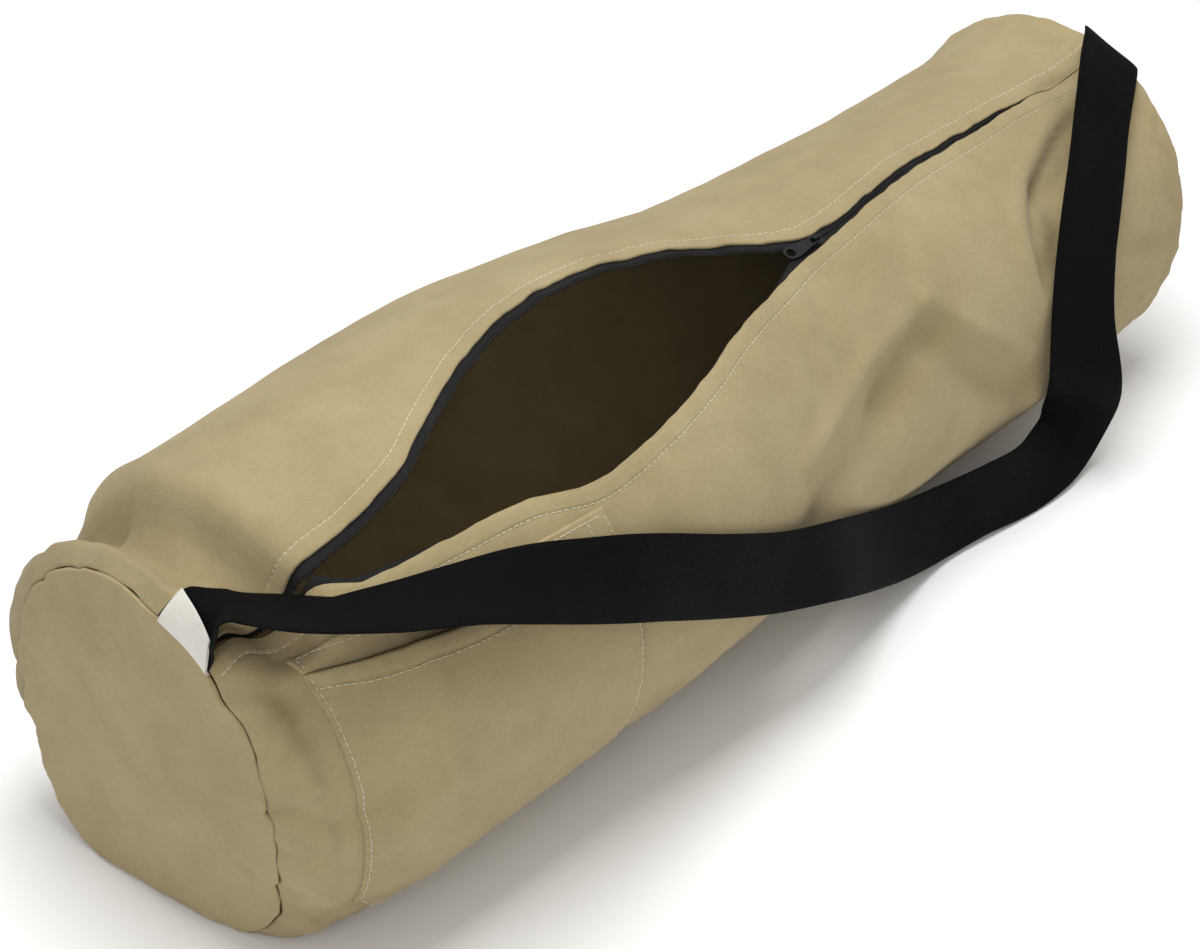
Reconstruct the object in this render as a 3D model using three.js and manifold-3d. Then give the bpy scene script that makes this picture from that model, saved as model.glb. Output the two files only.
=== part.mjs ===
// Canvas yoga mat bag lying on its side: a soft tube with round ends, a long zip left part open,
// a patch pocket on the front, a webbing strap from seam to seam and a small sewn-in tab.
// Millimetres, +Z up, floor at z = 0. X runs along the bag, the pocket is on the -Y side.
import * as THREE from "three";
import { mergeVertices } from "three/addons/utils/BufferGeometryUtils.js";
import Module from "manifold-3d";

const wasm = await Module();
wasm.setup();

// Driving dimensions
const BAG_LENGTH = 760; // seam to seam
const END_DIAMETER = 212; // sewn diameter of the round ends
const CANVAS = 1.6;
const GAP = 0.3; // left between neighbouring pieces
const WEBBING_WIDTH = 46;
const WEBBING = 2.2;
const TAPE = 0.8;
const TAPE_LAP = 9; // tape sewn under the canvas edge
const TAPE_SHOW = 6; // tape seen past the canvas edge
const COIL_RADIUS = 1.1;
const COIL_GAP = 0.4; // between a coil and its tape
const MESH_GAP = 0.35; // half the gap between the two tapes where the zip is closed
const SLIDER_LENGTH = 11;
const SLIDER_WIDTH = 7.6;
const SLIDER_PLATE = 1.2;
const PULL_LENGTH = 27;
const PULL_WIDTH = 9.5;
const PULL_THICK = 1.2;
const LABEL_OUT = 25;
const LABEL_THICK = 1.4;

const SLIDER_AT = 0.63; // share of the length where the slider stands
const R = END_DIAMETER / 2;
const DEG = Math.PI / 180;

// Sections from the near end to the far end: shares of the length and of the end radius
const SECTIONS = [
  { along: 0, wide: 0.925, tall: 1.1, press: 0.13, sway: 0.02 },
  { along: 0.02, wide: 1.15, tall: 1.11, press: 0.15, sway: 0.01 },
  { along: 0.042, wide: 1.11, tall: 1.08, press: 0.13, sway: -0.06 },
  { along: 0.056, wide: 1.12, tall: 1.1, press: 0.1, sway: -0.09 },
  { along: 0.067, wide: 1.22, tall: 1.2, press: 0.08, sway: -0.11 },
  { along: 0.08, wide: 1.24, tall: 1.22, press: 0.07, sway: -0.12 },
  { along: 0.13, wide: 1.24, tall: 1.215, press: 0.05, sway: -0.13 },
  { along: 0.25, wide: 1.27, tall: 1.22, press: 0.05, sway: -0.13 },
  { along: 0.35, wide: 1.29, tall: 1.21, press: 0.05, sway: -0.14 },
  { along: 0.43, wide: 1.25, tall: 1.17, press: 0.05, sway: -0.13 },
  { along: 0.5, wide: 1.19, tall: 1.125, press: 0.05, sway: -0.12 },
  { along: 0.6, wide: 1.1, tall: 1.055, press: 0.06, sway: -0.11 },
  { along: 0.7, wide: 1.06, tall: 1.02, press: 0.06, sway: -0.11 },
  { along: 0.85, wide: 1.05, tall: 0.97, press: 0.06, sway: -0.1 },
  { along: 0.95, wide: 1.01, tall: 0.96, press: 0.06, sway: -0.08 },
  { along: 1, wide: 1, tall: 1, press: 0.06, sway: -0.06 },
];
const SEAM_TUCK = 14; // how far the near seam's lower front is drawn in
const FAR_LEAN = 13; // how far the far seam's top stands past its middle
const FULLNESS = 2.06; // 2 is an ellipse, more is squarer

// The two lips of the zip: degrees from the top of the section, to the front
const LIPS = [
  { along: 0, front: 30, back: 27.5 },
  { along: 0.03, front: 28.5, back: 25.5 },
  { along: 0.065, front: 31, back: 25 },
  { along: 0.1, front: 37, back: 24.5 },
  { along: 0.17, front: 39.5, back: 20 },
  { along: 0.23, front: 41.5, back: 11 },
  { along: 0.3, front: 47, back: 1 },
  { along: 0.36, front: 45, back: -5 },
  { along: 0.43, front: 40, back: -8 },
  { along: 0.49, front: 33.5, back: -4.5 },
  { along: 0.56, front: 27, back: 5 },
  { along: 0.61, front: 22, back: 13.5 },
  { along: 0.63, front: 20.8, back: 15.6 },
  { along: 0.79, front: 12.6, back: 8 },
  { along: 0.89, front: 12, back: 8.5 },
  { along: 1, front: 17.2, back: 14.8 },
];

// Soft folds on the wrap: from one place to another, how wide and how high as shares of the radius
const FOLDS = [
  { from: [0.05, -65], to: [0.056, -38], wide: 0.08, rise: -0.05 },
  { from: [0.056, -38], to: [0.03, 2], wide: 0.09, rise: -0.05 },
  { from: [0.014, 14], to: [0.045, 22], wide: 0.16, rise: -0.05 },
  { from: [0.068, -70], to: [0.068, -36], wide: 0.07, rise: -0.05 },
  { from: [0.049, 52], to: [0.049, 128], wide: 0.1, rise: 0.055 },
  { from: [0.072, 56], to: [0.072, 124], wide: 0.1, rise: -0.02 },
  { from: [0.008, 40], to: [0.03, 50], wide: 0.06, rise: -0.03 },
  { from: [0.008, 76], to: [0.032, 84], wide: 0.05, rise: -0.03 },
  { from: [0.006, 114], to: [0.042, 130], wide: 0.06, rise: -0.04 },
  { from: [0, -140], to: [0.03, -140], wide: 0.22, rise: 0.08 },
  { from: [0.01, 142], to: [0.05, 142], wide: 0.3, rise: 0.04 },
  { from: [0.67, 54], to: [0.61, 72], wide: 0.14, rise: -0.045 },
  { from: [0.61, 72], to: [0.78, 92], wide: 0.24, rise: -0.06 },
  { from: [0.945, 31], to: [0.86, 43], wide: 0.11, rise: -0.055 },
  { from: [0.86, 43], to: [0.83, 64], wide: 0.12, rise: -0.05 },
  { from: [0.9, -38], to: [0.98, 0], wide: 0.08, rise: -0.03 },
];

// Diagonal ridges on the near end disc: from and to as shares of the radius, seen from outside
const NEAR_RIDGES = [
  { from: [-0.8, 0.45], to: [0.5, -0.8], wide: 0.16, rise: 0.03 },
  { from: [-0.1, 0.6], to: [0.75, -0.45], wide: 0.16, rise: 0.03 },
];
const FAR_RIDGES = [
  { from: [-0.6, 0.5], to: [0.2, -0.7], wide: 0.2, rise: 0.03 },
  { from: [0.1, 0.7], to: [0.6, -0.3], wide: 0.2, rise: 0.025 },
];

const clamp = (x, lo, hi) => Math.min(hi, Math.max(lo, x));
const lerp = (a, b, t) => a + (b - a) * t;
const smooth = (x, lo, hi) => {
  const t = clamp((x - lo) / (hi - lo), 0, 1);
  return t * t * (3 - 2 * t);
};
const point = (x, y, z) => new THREE.Vector3(x, y, z);

// A named column of a table at a place along it, by a smooth curve that never overshoots
function column(table, name, at) {
  const last = table.length - 1;
  let k = 0;
  while (k < last - 1 && at > table[k + 1].along) k += 1;
  const step = (i) =>
    (table[i + 1][name] - table[i][name]) / (table[i + 1].along - table[i].along);
  const slope = (i) => {
    if (i === 0) return step(0);
    if (i === last) return step(last - 1);
    const [before, after] = [step(i - 1), step(i)];
    return before * after <= 0 ? 0 : (2 * before * after) / (before + after);
  };
  const span = table[k + 1].along - table[k].along;
  const t = clamp((at - table[k].along) / span, 0, 1);
  const [a, b] = [table[k][name], table[k + 1][name]];
  return (
    a * (2 * t ** 3 - 3 * t ** 2 + 1) +
    b * (3 * t ** 2 - 2 * t ** 3) +
    span * (slope(k) * (t ** 3 - 2 * t ** 2 + t) + slope(k + 1) * (t ** 3 - t ** 2))
  );
}

// How far a point lies from the straight run of a fold, in millimetres
function fromRun(p, a, b) {
  const [dx, dy] = [b[0] - a[0], b[1] - a[1]];
  const t = clamp(((p[0] - a[0]) * dx + (p[1] - a[1]) * dy) / (dx * dx + dy * dy), 0, 1);
  return Math.hypot(p[0] - a[0] - t * dx, p[1] - a[1] - t * dy);
}

// The height of all folds at a place on the wrap
function relief(along, turn) {
  const flat = ([s, degrees]) => [s * BAG_LENGTH, degrees * DEG * R];
  let height = 0;
  for (const fold of FOLDS) {
    for (const wrap of [-360, 0, 360]) {
      const far = fromRun(flat([along, turn + wrap]), flat(fold.from), flat(fold.to));
      height += fold.rise * R * Math.exp(-((far / (fold.wide * R)) ** 2));
    }
  }
  return height;
}

// A point of the wrap's outer face: turn is in degrees from the top, to the front
function skin(along, turn) {
  const wide = column(SECTIONS, "wide", along) * R;
  const tall = column(SECTIONS, "tall", along) * R;
  const press = column(SECTIONS, "press", along) * R;
  const sway = column(SECTIONS, "sway", along) * R;
  const [s, c] = [Math.sin(turn * DEG), Math.cos(turn * DEG)];
  const radius =
    (Math.abs(s / wide) ** FULLNESS + Math.abs(c / tall) ** FULLNESS) ** (-1 / FULLNESS) +
    relief(along, turn);
  const tuck = SEAM_TUCK * Math.exp(-(((turn - 140) / 34) ** 2)) * (1 - smooth(along, 0, 0.08));
  const lean = FAR_LEAN * c * smooth(along, 0.9, 1);
  return point(
    (along - 0.5) * BAG_LENGTH + tuck + lean,
    sway - radius * s,
    Math.max(0, tall - press + radius * c),
  );
}

// The direction straight out of the wrap
function outward(along, turn) {
  const step = 0.002;
  const lo = clamp(along - step, 0, 1);
  const hi = clamp(along + step, 0, 1);
  const run = skin(hi, turn).sub(skin(lo, turn));
  const round = skin(along, turn + 0.7).sub(skin(along, turn - 0.7));
  const n = run.cross(round).normalize();
  const middle = point((along - 0.5) * BAG_LENGTH, column(SECTIONS, "sway", along) * R, R);
  if (along === 0 || along === 1) n.setX(0).normalize();
  return n.dot(skin(along, turn).sub(middle)) < 0 ? n.negate() : n;
}

// A point at a depth under the wrap's outer face, or above it when the depth is negative
const under = (along, turn, depth) =>
  skin(along, turn).addScaledVector(outward(along, turn), -depth);

// Degrees that an arc of some millimetres takes at a place on the wrap
const arcDegrees = (along, length) =>
  length / (column(SECTIONS, "wide", along) * R) / DEG;

// A closed sheet between two equal grids of points, its borders joined
function sheet(top, bottom) {
  const rows = top.length;
  const columns = top[0].length;
  const vertices = [...top.flat(), ...bottom.flat()];
  const faces = [];
  const id = (side, i, j) => side * rows * columns + i * columns + j;
  const quad = (a, b, c, d) => faces.push(a, b, c, a, c, d);
  for (let i = 0; i < rows - 1; i += 1) {
    for (let j = 0; j < columns - 1; j += 1) {
      quad(id(0, i, j), id(0, i + 1, j), id(0, i + 1, j + 1), id(0, i, j + 1));
      quad(id(1, i, j), id(1, i, j + 1), id(1, i + 1, j + 1), id(1, i + 1, j));
    }
  }
  for (let i = 0; i < rows - 1; i += 1) {
    quad(id(0, i, 0), id(1, i, 0), id(1, i + 1, 0), id(0, i + 1, 0));
    const e = columns - 1;
    quad(id(0, i, e), id(0, i + 1, e), id(1, i + 1, e), id(1, i, e));
  }
  for (let j = 0; j < columns - 1; j += 1) {
    quad(id(0, 0, j), id(0, 0, j + 1), id(1, 0, j + 1), id(1, 0, j));
    const e = rows - 1;
    quad(id(0, e, j), id(1, e, j), id(1, e, j + 1), id(0, e, j + 1));
  }
  return solid(vertices, faces);
}

// A geometry from points and faces, turned so that its faces look out
function solid(vertices, faces) {
  let volume = 0;
  for (let k = 0; k < faces.length; k += 3) {
    const [a, b, c] = [0, 1, 2].map((m) => vertices[faces[k + m]]);
    volume += a.dot(b.clone().cross(c));
  }
  if (volume < 0) {
    for (let k = 0; k < faces.length; k += 3) {
      [faces[k + 1], faces[k + 2]] = [faces[k + 2], faces[k + 1]];
    }
  }
  const geometry = new THREE.BufferGeometry();
  geometry.setFromPoints(vertices);
  geometry.setIndex(faces);
  return geometry;
}

// A closed rod: a ring of points round each place of a path, capped at both ends
function rod(rings) {
  const sides = rings[0].length;
  const vertices = rings.flat();
  const faces = [];
  for (let i = 0; i < rings.length - 1; i += 1) {
    for (let j = 0; j < sides; j += 1) {
      const n = (j + 1) % sides;
      const [a, b] = [i * sides + j, i * sides + n];
      faces.push(a, b, b + sides, a, b + sides, a + sides);
    }
  }
  const end = (rings.length - 1) * sides;
  for (let j = 1; j < sides - 1; j += 1) {
    faces.push(0, j + 1, j, end, end + j, end + j + 1);
  }
  return solid(vertices, faces);
}

// Places along the bag where the wrap has a row of points: close at the near ridge and the slider
const NEAR_ROWS = [0, 0.014, 0.028, 0.042, 0.056, 0.067, 0.08, 0.1];
const SLIDER_ROWS = [-16, -8, -2, 6, 15].map((mm) => SLIDER_AT + mm / BAG_LENGTH);
const ROW_STEP = 0.027;
function rowPlaces() {
  const places = [...NEAR_ROWS];
  const spread = (from, to) => {
    const count = Math.round((to - from) / ROW_STEP);
    for (let k = 1; k <= count; k += 1) places.push(lerp(from, to, k / count));
  };
  spread(NEAR_ROWS.at(-1), SLIDER_ROWS[0]);
  places.push(...SLIDER_ROWS.slice(1));
  spread(SLIDER_ROWS.at(-1), 1);
  return places;
}
const ROWS = rowPlaces();

// Turns across the wrap, from the front lip under the bag to the back lip
const EDGE_STEPS = [0, TAPE_LAP, 22];
const ROUND_COLUMNS = 31;
function wrapTurns(along) {
  const front = column(LIPS, "front", along);
  const back = column(LIPS, "back", along) + 360;
  const step = EDGE_STEPS.map((mm) => arcDegrees(along, mm));
  const from = front + step[2];
  const to = back - step[2];
  const turns = [front, front + step[1]];
  for (let k = 0; k <= ROUND_COLUMNS; k += 1) turns.push(lerp(from, to, k / ROUND_COLUMNS));
  turns.push(back - step[1], back);
  return turns;
}

function bodyPanel() {
  const grid = (depth) =>
    ROWS.map((along) => wrapTurns(along).map((turn) => under(along, turn, depth)));
  return sheet(grid(0), grid(CANVAS));
}

// The width between the lips in millimetres
const slot = (along) =>
  skin(along, column(LIPS, "front", along)).distanceTo(skin(along, column(LIPS, "back", along)));

// One tape's cross line at a place: sewn edge, canvas edge and free edge, with the way into the bag.
// Where the mouth is wide open the front tape turns down into the bag.
const TAPE_DEPTH = CANVAS + GAP;
const TAPE_TUCK = 80; // degrees
const ZIP_END = 0.002; // share of the length left between the zip and each end seam
const zipPlaces = () => ROWS.map((along) => clamp(along, ZIP_END, 1 - ZIP_END));
function tapeLine(along, side) {
  const lip = column(LIPS, side > 0 ? "front" : "back", along);
  const sewn = under(along, lip + side * arcDegrees(along, TAPE_LAP), TAPE_DEPTH);
  const edge = under(along, lip, TAPE_DEPTH);
  const before = (SLIDER_AT - along) * BAG_LENGTH;
  const spread = clamp((before + SLIDER_LENGTH / 2) / 8, 0, 1.6); // the slider parts the tapes
  const show = Math.min(TAPE_SHOW, slot(along) / 2 - MESH_GAP - spread);
  const out = outward(along, lip);
  const across = point(0, side * out.z, -side * out.y).normalize();
  const wide = side > 0 ? smooth(slot(along), 2 * TAPE_SHOW, 10 * TAPE_SHOW) : 0;
  const [s, c] = [Math.sin(wide * TAPE_TUCK * DEG), Math.cos(wide * TAPE_TUCK * DEG)];
  const way = across.clone().multiplyScalar(c).addScaledVector(out, -s);
  const inner = out.clone().multiplyScalar(-c).addScaledVector(across, -s);
  return { sewn, edge, free: edge.clone().addScaledVector(way, show), way, inner, out };
}

function zipTape(side) {
  const lines = zipPlaces().map((along) => tapeLine(along, side));
  const inOrder = (points) => (side > 0 ? points.reverse() : points); // columns run as on the wrap
  const top = lines.map((l) => inOrder([l.sewn, l.edge, l.free]));
  const bottom = lines.map((l) =>
    inOrder([
      l.sewn.clone().addScaledVector(l.out, -TAPE),
      l.edge.clone().addScaledVector(l.inner.clone().sub(l.out).normalize(), TAPE),
      l.free.clone().addScaledVector(l.inner, TAPE),
    ]),
  );
  return sheet(top, bottom);
}

const COIL_SIDES = 5;
function zipCoil(side) {
  const rings = zipPlaces().map((along) => {
    const line = tapeLine(along, side);
    const centre = line.free
      .clone()
      .addScaledVector(line.inner, TAPE + COIL_GAP + COIL_RADIUS)
      .addScaledVector(line.way, -COIL_RADIUS);
    return Array.from({ length: COIL_SIDES }, (_, k) => {
      const a = (k / COIL_SIDES) * 2 * Math.PI;
      return centre
        .clone()
        .addScaledVector(line.way, Math.cos(a) * COIL_RADIUS)
        .addScaledVector(line.inner, -Math.sin(a) * COIL_RADIUS);
    });
  });
  return rod(rings);
}

// A round end: a thin bulged cloth disc whose rim lies on the wrap's end edge
const DISC_RINGS = [0.3, 0.55, 0.75, 0.9, 1];
const DISC_SPOKES = 36;
function endDisc(end, ridges) {
  const way = end === 0 ? -1 : 1;
  const middle = point(
    (end - 0.5) * BAG_LENGTH,
    column(SECTIONS, "sway", end) * R,
    (column(SECTIONS, "tall", end) - column(SECTIONS, "press", end)) * R,
  );
  const face = (share, turn, offset) => {
    const p = middle.clone().lerp(skin(end, turn), share);
    const across = (p.y - middle.y) / R;
    const up = (p.z - middle.z) / R;
    let bulge = 0.03 * (1 - share ** 2);
    for (const ridge of ridges) {
      const far = fromRun([across, up], ridge.from, ridge.to) / ridge.wide;
      bulge += ridge.rise * Math.exp(-(far ** 2)) * (1 - share ** 4);
    }
    p.x += way * (bulge * R + GAP + offset);
    return p;
  };
  const vertices = [face(0, 0, CANVAS), face(0, 0, 0)];
  const faces = [];
  for (const offset of [CANVAS, 0]) {
    for (const share of DISC_RINGS) {
      for (let k = 0; k < DISC_SPOKES; k += 1) {
        vertices.push(face(share, (k * 360) / DISC_SPOKES, offset));
      }
    }
  }
  const rings = DISC_RINGS.length;
  const id = (side, ring, k) => 2 + (side * rings + ring) * DISC_SPOKES + (k % DISC_SPOKES);
  for (let k = 0; k < DISC_SPOKES; k += 1) {
    faces.push(0, id(0, 0, k), id(0, 0, k + 1), 1, id(1, 0, k + 1), id(1, 0, k));
    for (let r = 0; r < rings - 1; r += 1) {
      const [a, b, c, d] = [id(0, r, k), id(0, r + 1, k), id(0, r + 1, k + 1), id(0, r, k + 1)];
      faces.push(a, b, c, a, c, d);
      const [e, f, g, h] = [id(1, r, k), id(1, r + 1, k), id(1, r + 1, k + 1), id(1, r, k + 1)];
      faces.push(e, g, f, e, h, g);
    }
    const [a, b, c, d] = [
      id(0, rings - 1, k),
      id(1, rings - 1, k),
      id(1, rings - 1, k + 1),
      id(0, rings - 1, k + 1),
    ];
    faces.push(a, b, c, a, c, d);
  }
  return solid(vertices, faces);
}

// The strap's places from the near seam to the far seam: shares of the length (from the middle)
// and of the radius (out to the front, up), the heading and rise of its upper edge in degrees,
// and the share of its width that shows where its end is pinched in the seam
const STRAP = [
  { at: -0.5, out: 0.38, up: 1.95, heading: 0, rise: 25, width: 0.85 },
  { at: -0.494, out: 0.46, up: 2.1, heading: 4, rise: -6, width: 0.85 },
  { at: -0.483, out: 0.52, up: 2.15, heading: 20, rise: -22, width: 0.92 },
  { at: -0.47, out: 0.64, up: 2.16, heading: 27, rise: -22, width: 1 },
  { at: -0.452, out: 0.99, up: 2.24, heading: 36, rise: -20, width: 1 },
  { at: -0.422, out: 1.14, up: 2.22, heading: 37, rise: -12, width: 1 },
  { at: -0.36, out: 1.25, up: 2.1, heading: 38, rise: -4, width: 1 },
  { at: -0.3, out: 1.33, up: 1.95, heading: 55, rise: 13, width: 1 },
  { at: -0.255, out: 1.39, up: 1.81, heading: 50, rise: 24, width: 1 },
  { at: -0.208, out: 1.45, up: 1.66, heading: 12, rise: 66, width: 1 },
  { at: -0.142, out: 1.47, up: 1.39, heading: -8, rise: 78, width: 1 },
  { at: -0.07, out: 1.46, up: 1.1, heading: -25, rise: 79, width: 1 },
  { at: -0.003, out: 1.44, up: 0.88, heading: 8, rise: 74, width: 1 },
  { at: 0.065, out: 1.31, up: 0.58, heading: 22, rise: 71, width: 1 },
  { at: 0.12, out: 1.22, up: 0.37, heading: 14, rise: 70, width: 1 },
  { at: 0.171, out: 1.18, up: 0.25, heading: 0, rise: 71, width: 1 },
  { at: 0.22, out: 1.24, up: 0.25, heading: -54, rise: 68, width: 1 },
  { at: 0.265, out: 1.27, up: 0.22, heading: -62, rise: 58, width: 1 },
  { at: 0.3, out: 1.25, up: 0.22, heading: -57, rise: 49, width: 1 },
  { at: 0.335, out: 1.21, up: 0.24, heading: -53, rise: 36, width: 1 },
  { at: 0.345, out: 1.22, up: 0.43, heading: -52, rise: 31, width: 1 },
  { at: 0.328, out: 1.33, up: 0.64, heading: -58, rise: 25, width: 1 },
  { at: 0.327, out: 1.27, up: 1, heading: -67, rise: 19, width: 1 },
  { at: 0.355, out: 1.11, up: 1.38, heading: -72, rise: 20, width: 1 },
  { at: 0.397, out: 0.92, up: 1.64, heading: -71, rise: 26, width: 1 },
  { at: 0.442, out: 0.71, up: 1.83, heading: -71, rise: 29, width: 1 },
  { at: 0.473, out: 0.57, up: 1.95, heading: -67, rise: 31, width: 1 },
  { at: 0.504, out: 0.43, up: 1.98, heading: -45, rise: 40, width: 0.93 },
  { at: 0.512, out: 0.36, up: 1.93, heading: 0, rise: 20, width: 0.84 },
];
const STRAP_STEPS = 2;
const STRAP_ACROSS = [-1, -0.33, 0.33, 1];
const ROOT_LIFT = 1.1; // the strap's ends stand just above the seams
const ROOT_AHEAD = WEBBING / 2 + GAP; // and just outside them
function strap() {
  const centres = STRAP.map((s) => point(s.at * BAG_LENGTH, -s.out * R, s.up * R));
  const curve = new THREE.CatmullRomCurve3(centres, false, "centripetal");
  const widths = STRAP.map((s) => {
    const [h, r] = [s.heading * DEG, s.rise * DEG];
    return point(Math.cos(r) * Math.sin(h), Math.cos(r) * Math.cos(h), Math.sin(r));
  });
  const last = STRAP.length - 1;
  const top = [];
  const bottom = [];
  for (let k = 0; k <= last * STRAP_STEPS; k += 1) {
    const t = k / (last * STRAP_STEPS);
    const cell = Math.min(last - 1, Math.floor(t * last));
    const share = t * last - cell;
    const centre = curve.getPoint(t);
    const run = curve.getTangent(t);
    const width = widths[cell].clone().lerp(widths[cell + 1], share);
    width.addScaledVector(run, -width.dot(run)).normalize();
    const face = width.clone().cross(run).normalize();
    const half = (lerp(STRAP[cell].width, STRAP[cell + 1].width, share) * WEBBING_WIDTH) / 2;
    const corner = (w, f) => {
      const p = centre.clone().addScaledVector(width, w * half);
      if (k === 0 || k === last * STRAP_STEPS) p.copy(onSeam(k === 0 ? 0 : 1, p));
      return p.addScaledVector(face, (f * WEBBING) / 2);
    };
    top.push(STRAP_ACROSS.map((w) => corner(w, 1)));
    bottom.push(STRAP_ACROSS.map((w) => corner(w, -1)));
  }
  return sheet(top, bottom);
}

// The strap's place on a seam that is nearest to a point beside it
function onSeam(end, p) {
  const centre = point(p.x, column(SECTIONS, "sway", end) * R, 0);
  centre.z = (column(SECTIONS, "tall", end) - column(SECTIONS, "press", end)) * R;
  const turn = Math.atan2(centre.y - p.y, p.z - centre.z) / DEG;
  const seam = skin(end, turn);
  const way = point(0, -Math.sin(turn * DEG), Math.cos(turn * DEG));
  return seam.addScaledVector(way, ROOT_LIFT).setX(seam.x + (end === 0 ? -ROOT_AHEAD : ROOT_AHEAD));
}

// Small label tab in front of the strap's near end, from its seam edge to its free edge
const LABEL_TURNS = [12, 18, 25, 32.5];
const LABEL_LEAN = [0.36, 0.22, 0.04, -0.14]; // way to the far end per unit out, from back to front
const LABEL_STEPS = 4;
function labelTab() {
  const front = -BAG_LENGTH / 2 - ROOT_AHEAD - WEBBING / 2 - GAP - LABEL_THICK / 2;
  const face = (side) => {
    const rows = [];
    for (let k = 0; k <= LABEL_STEPS; k += 1) {
      const out = (k / LABEL_STEPS) * LABEL_OUT;
      rows.push(
        LABEL_TURNS.map((turn, j) => {
          const p = skin(0, turn);
          const way = point(0, -Math.sin(turn * DEG), Math.cos(turn * DEG));
          p.x = front + LABEL_LEAN[j] * (out ** 2 / LABEL_OUT) + side * (LABEL_THICK / 2);
          return p.addScaledVector(way, ROOT_LIFT + out * Math.sqrt(1 - LABEL_LEAN[j] ** 2));
        }),
      );
    }
    return rows;
  };
  return sheet(face(1), face(-1));
}

// The patch pocket: its mouth, facing and lower edge in degrees from the top
const POCKET = [
  { along: 0.042, top: 38, mouth: 45, low: 118 },
  { along: 0.08, top: 44, mouth: 51, low: 133 },
  { along: 0.14, top: 48, mouth: 56, low: 131 },
  { along: 0.22, top: 50.5, mouth: 58.5, low: 128 },
  { along: 0.3, top: 52, mouth: 60.5, low: 125 },
];
const POCKET_LIFT = 0.7; // clears the facets of the wrap beneath
const POCKET_GAPE = 9; // how far the middle of the mouth stands off the wrap
const POCKET_COLUMNS = 11;
const FACING_GAP = 0.5;
const pocketRows = () => {
  const [from, to] = [POCKET[0].along, POCKET.at(-1).along];
  return ROWS.filter((along) => along >= from - 1e-9 && along < to);
};
function pocketPanel() {
  const rows = pocketRows();
  const face = (depth) =>
    rows.map((along) => {
      const share = (along - rows[0]) / (rows.at(-1) - rows[0]);
      const mouth = column(POCKET, "mouth", along);
      const low = column(POCKET, "low", along);
      return Array.from({ length: POCKET_COLUMNS }, (_, k) => {
        const down = k / (POCKET_COLUMNS - 1);
        const gape = Math.sin(Math.PI * share) ** 0.7 * Math.cos((Math.PI / 2) * down) ** 0.8;
        const lift = POCKET_LIFT + POCKET_GAPE * gape;
        return under(along, lerp(mouth, low, down), depth - lift);
      });
    });
  return sheet(face(-CANVAS), face(0));
}
function pocketFacing() {
  const face = (depth) =>
    pocketRows().map((along) => {
      const top = column(POCKET, "top", along);
      const mouth = column(POCKET, "mouth", along) - arcDegrees(along, FACING_GAP);
      return [top, (top + mouth) / 2, mouth].map((turn) => under(along, turn, depth));
    });
  return sheet(face(-POCKET_LIFT - CANVAS), face(-POCKET_LIFT));
}

// The slider's own frame: X along the zip, Z out of the bag, origin level with the canvas
const SLIDER_TURN = (column(LIPS, "front", SLIDER_AT) + column(LIPS, "back", SLIDER_AT)) / 2;
function sliderFrame() {
  const out = outward(SLIDER_AT, SLIDER_TURN);
  const step = 0.004;
  const along = skin(SLIDER_AT + step, SLIDER_TURN).sub(skin(SLIDER_AT - step, SLIDER_TURN));
  along.addScaledVector(out, -along.dot(out)).normalize();
  const across = out.clone().cross(along);
  const frame = new THREE.Matrix4().makeBasis(along, across, out);
  return frame.setPosition(skin(SLIDER_AT, SLIDER_TURN));
}

// A manifold solid from a closed three.js geometry
function manifold(geometry) {
  const merged = mergeVertices(
    new THREE.BufferGeometry()
      .setAttribute("position", geometry.getAttribute("position"))
      .setIndex(geometry.index),
    1e-4,
  );
  return new wasm.Manifold(
    new wasm.Mesh({
      numProp: 3,
      vertProperties: merged.attributes.position.array,
      triVerts: new Uint32Array(merged.index.array),
    }),
  );
}
function fromManifold(made) {
  const mesh = made.getMesh();
  const geometry = new THREE.BufferGeometry();
  geometry.setAttribute("position", new THREE.BufferAttribute(mesh.vertProperties, 3));
  return geometry.setIndex(new THREE.BufferAttribute(mesh.triVerts, 1));
}

// A plate of a plan shape between two heights
function plate(shape, low, high, segments = 4) {
  const geometry = new THREE.ExtrudeGeometry(shape, {
    depth: high - low,
    bevelEnabled: false,
    curveSegments: segments,
  });
  return geometry.translate(0, 0, low);
}
function roundedPlan(x0, x1, half, corner) {
  const shape = new THREE.Shape();
  shape.moveTo(x0 + corner, -half);
  shape.lineTo(x1 - corner, -half);
  shape.quadraticCurveTo(x1, -half, x1, -half + corner);
  shape.lineTo(x1, half - corner);
  shape.quadraticCurveTo(x1, half, x1 - corner, half);
  shape.lineTo(x0 + corner, half);
  shape.quadraticCurveTo(x0, half, x0, half - corner);
  shape.lineTo(x0, -half + corner);
  shape.quadraticCurveTo(x0, -half, x0 + corner, -half);
  return shape;
}

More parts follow.
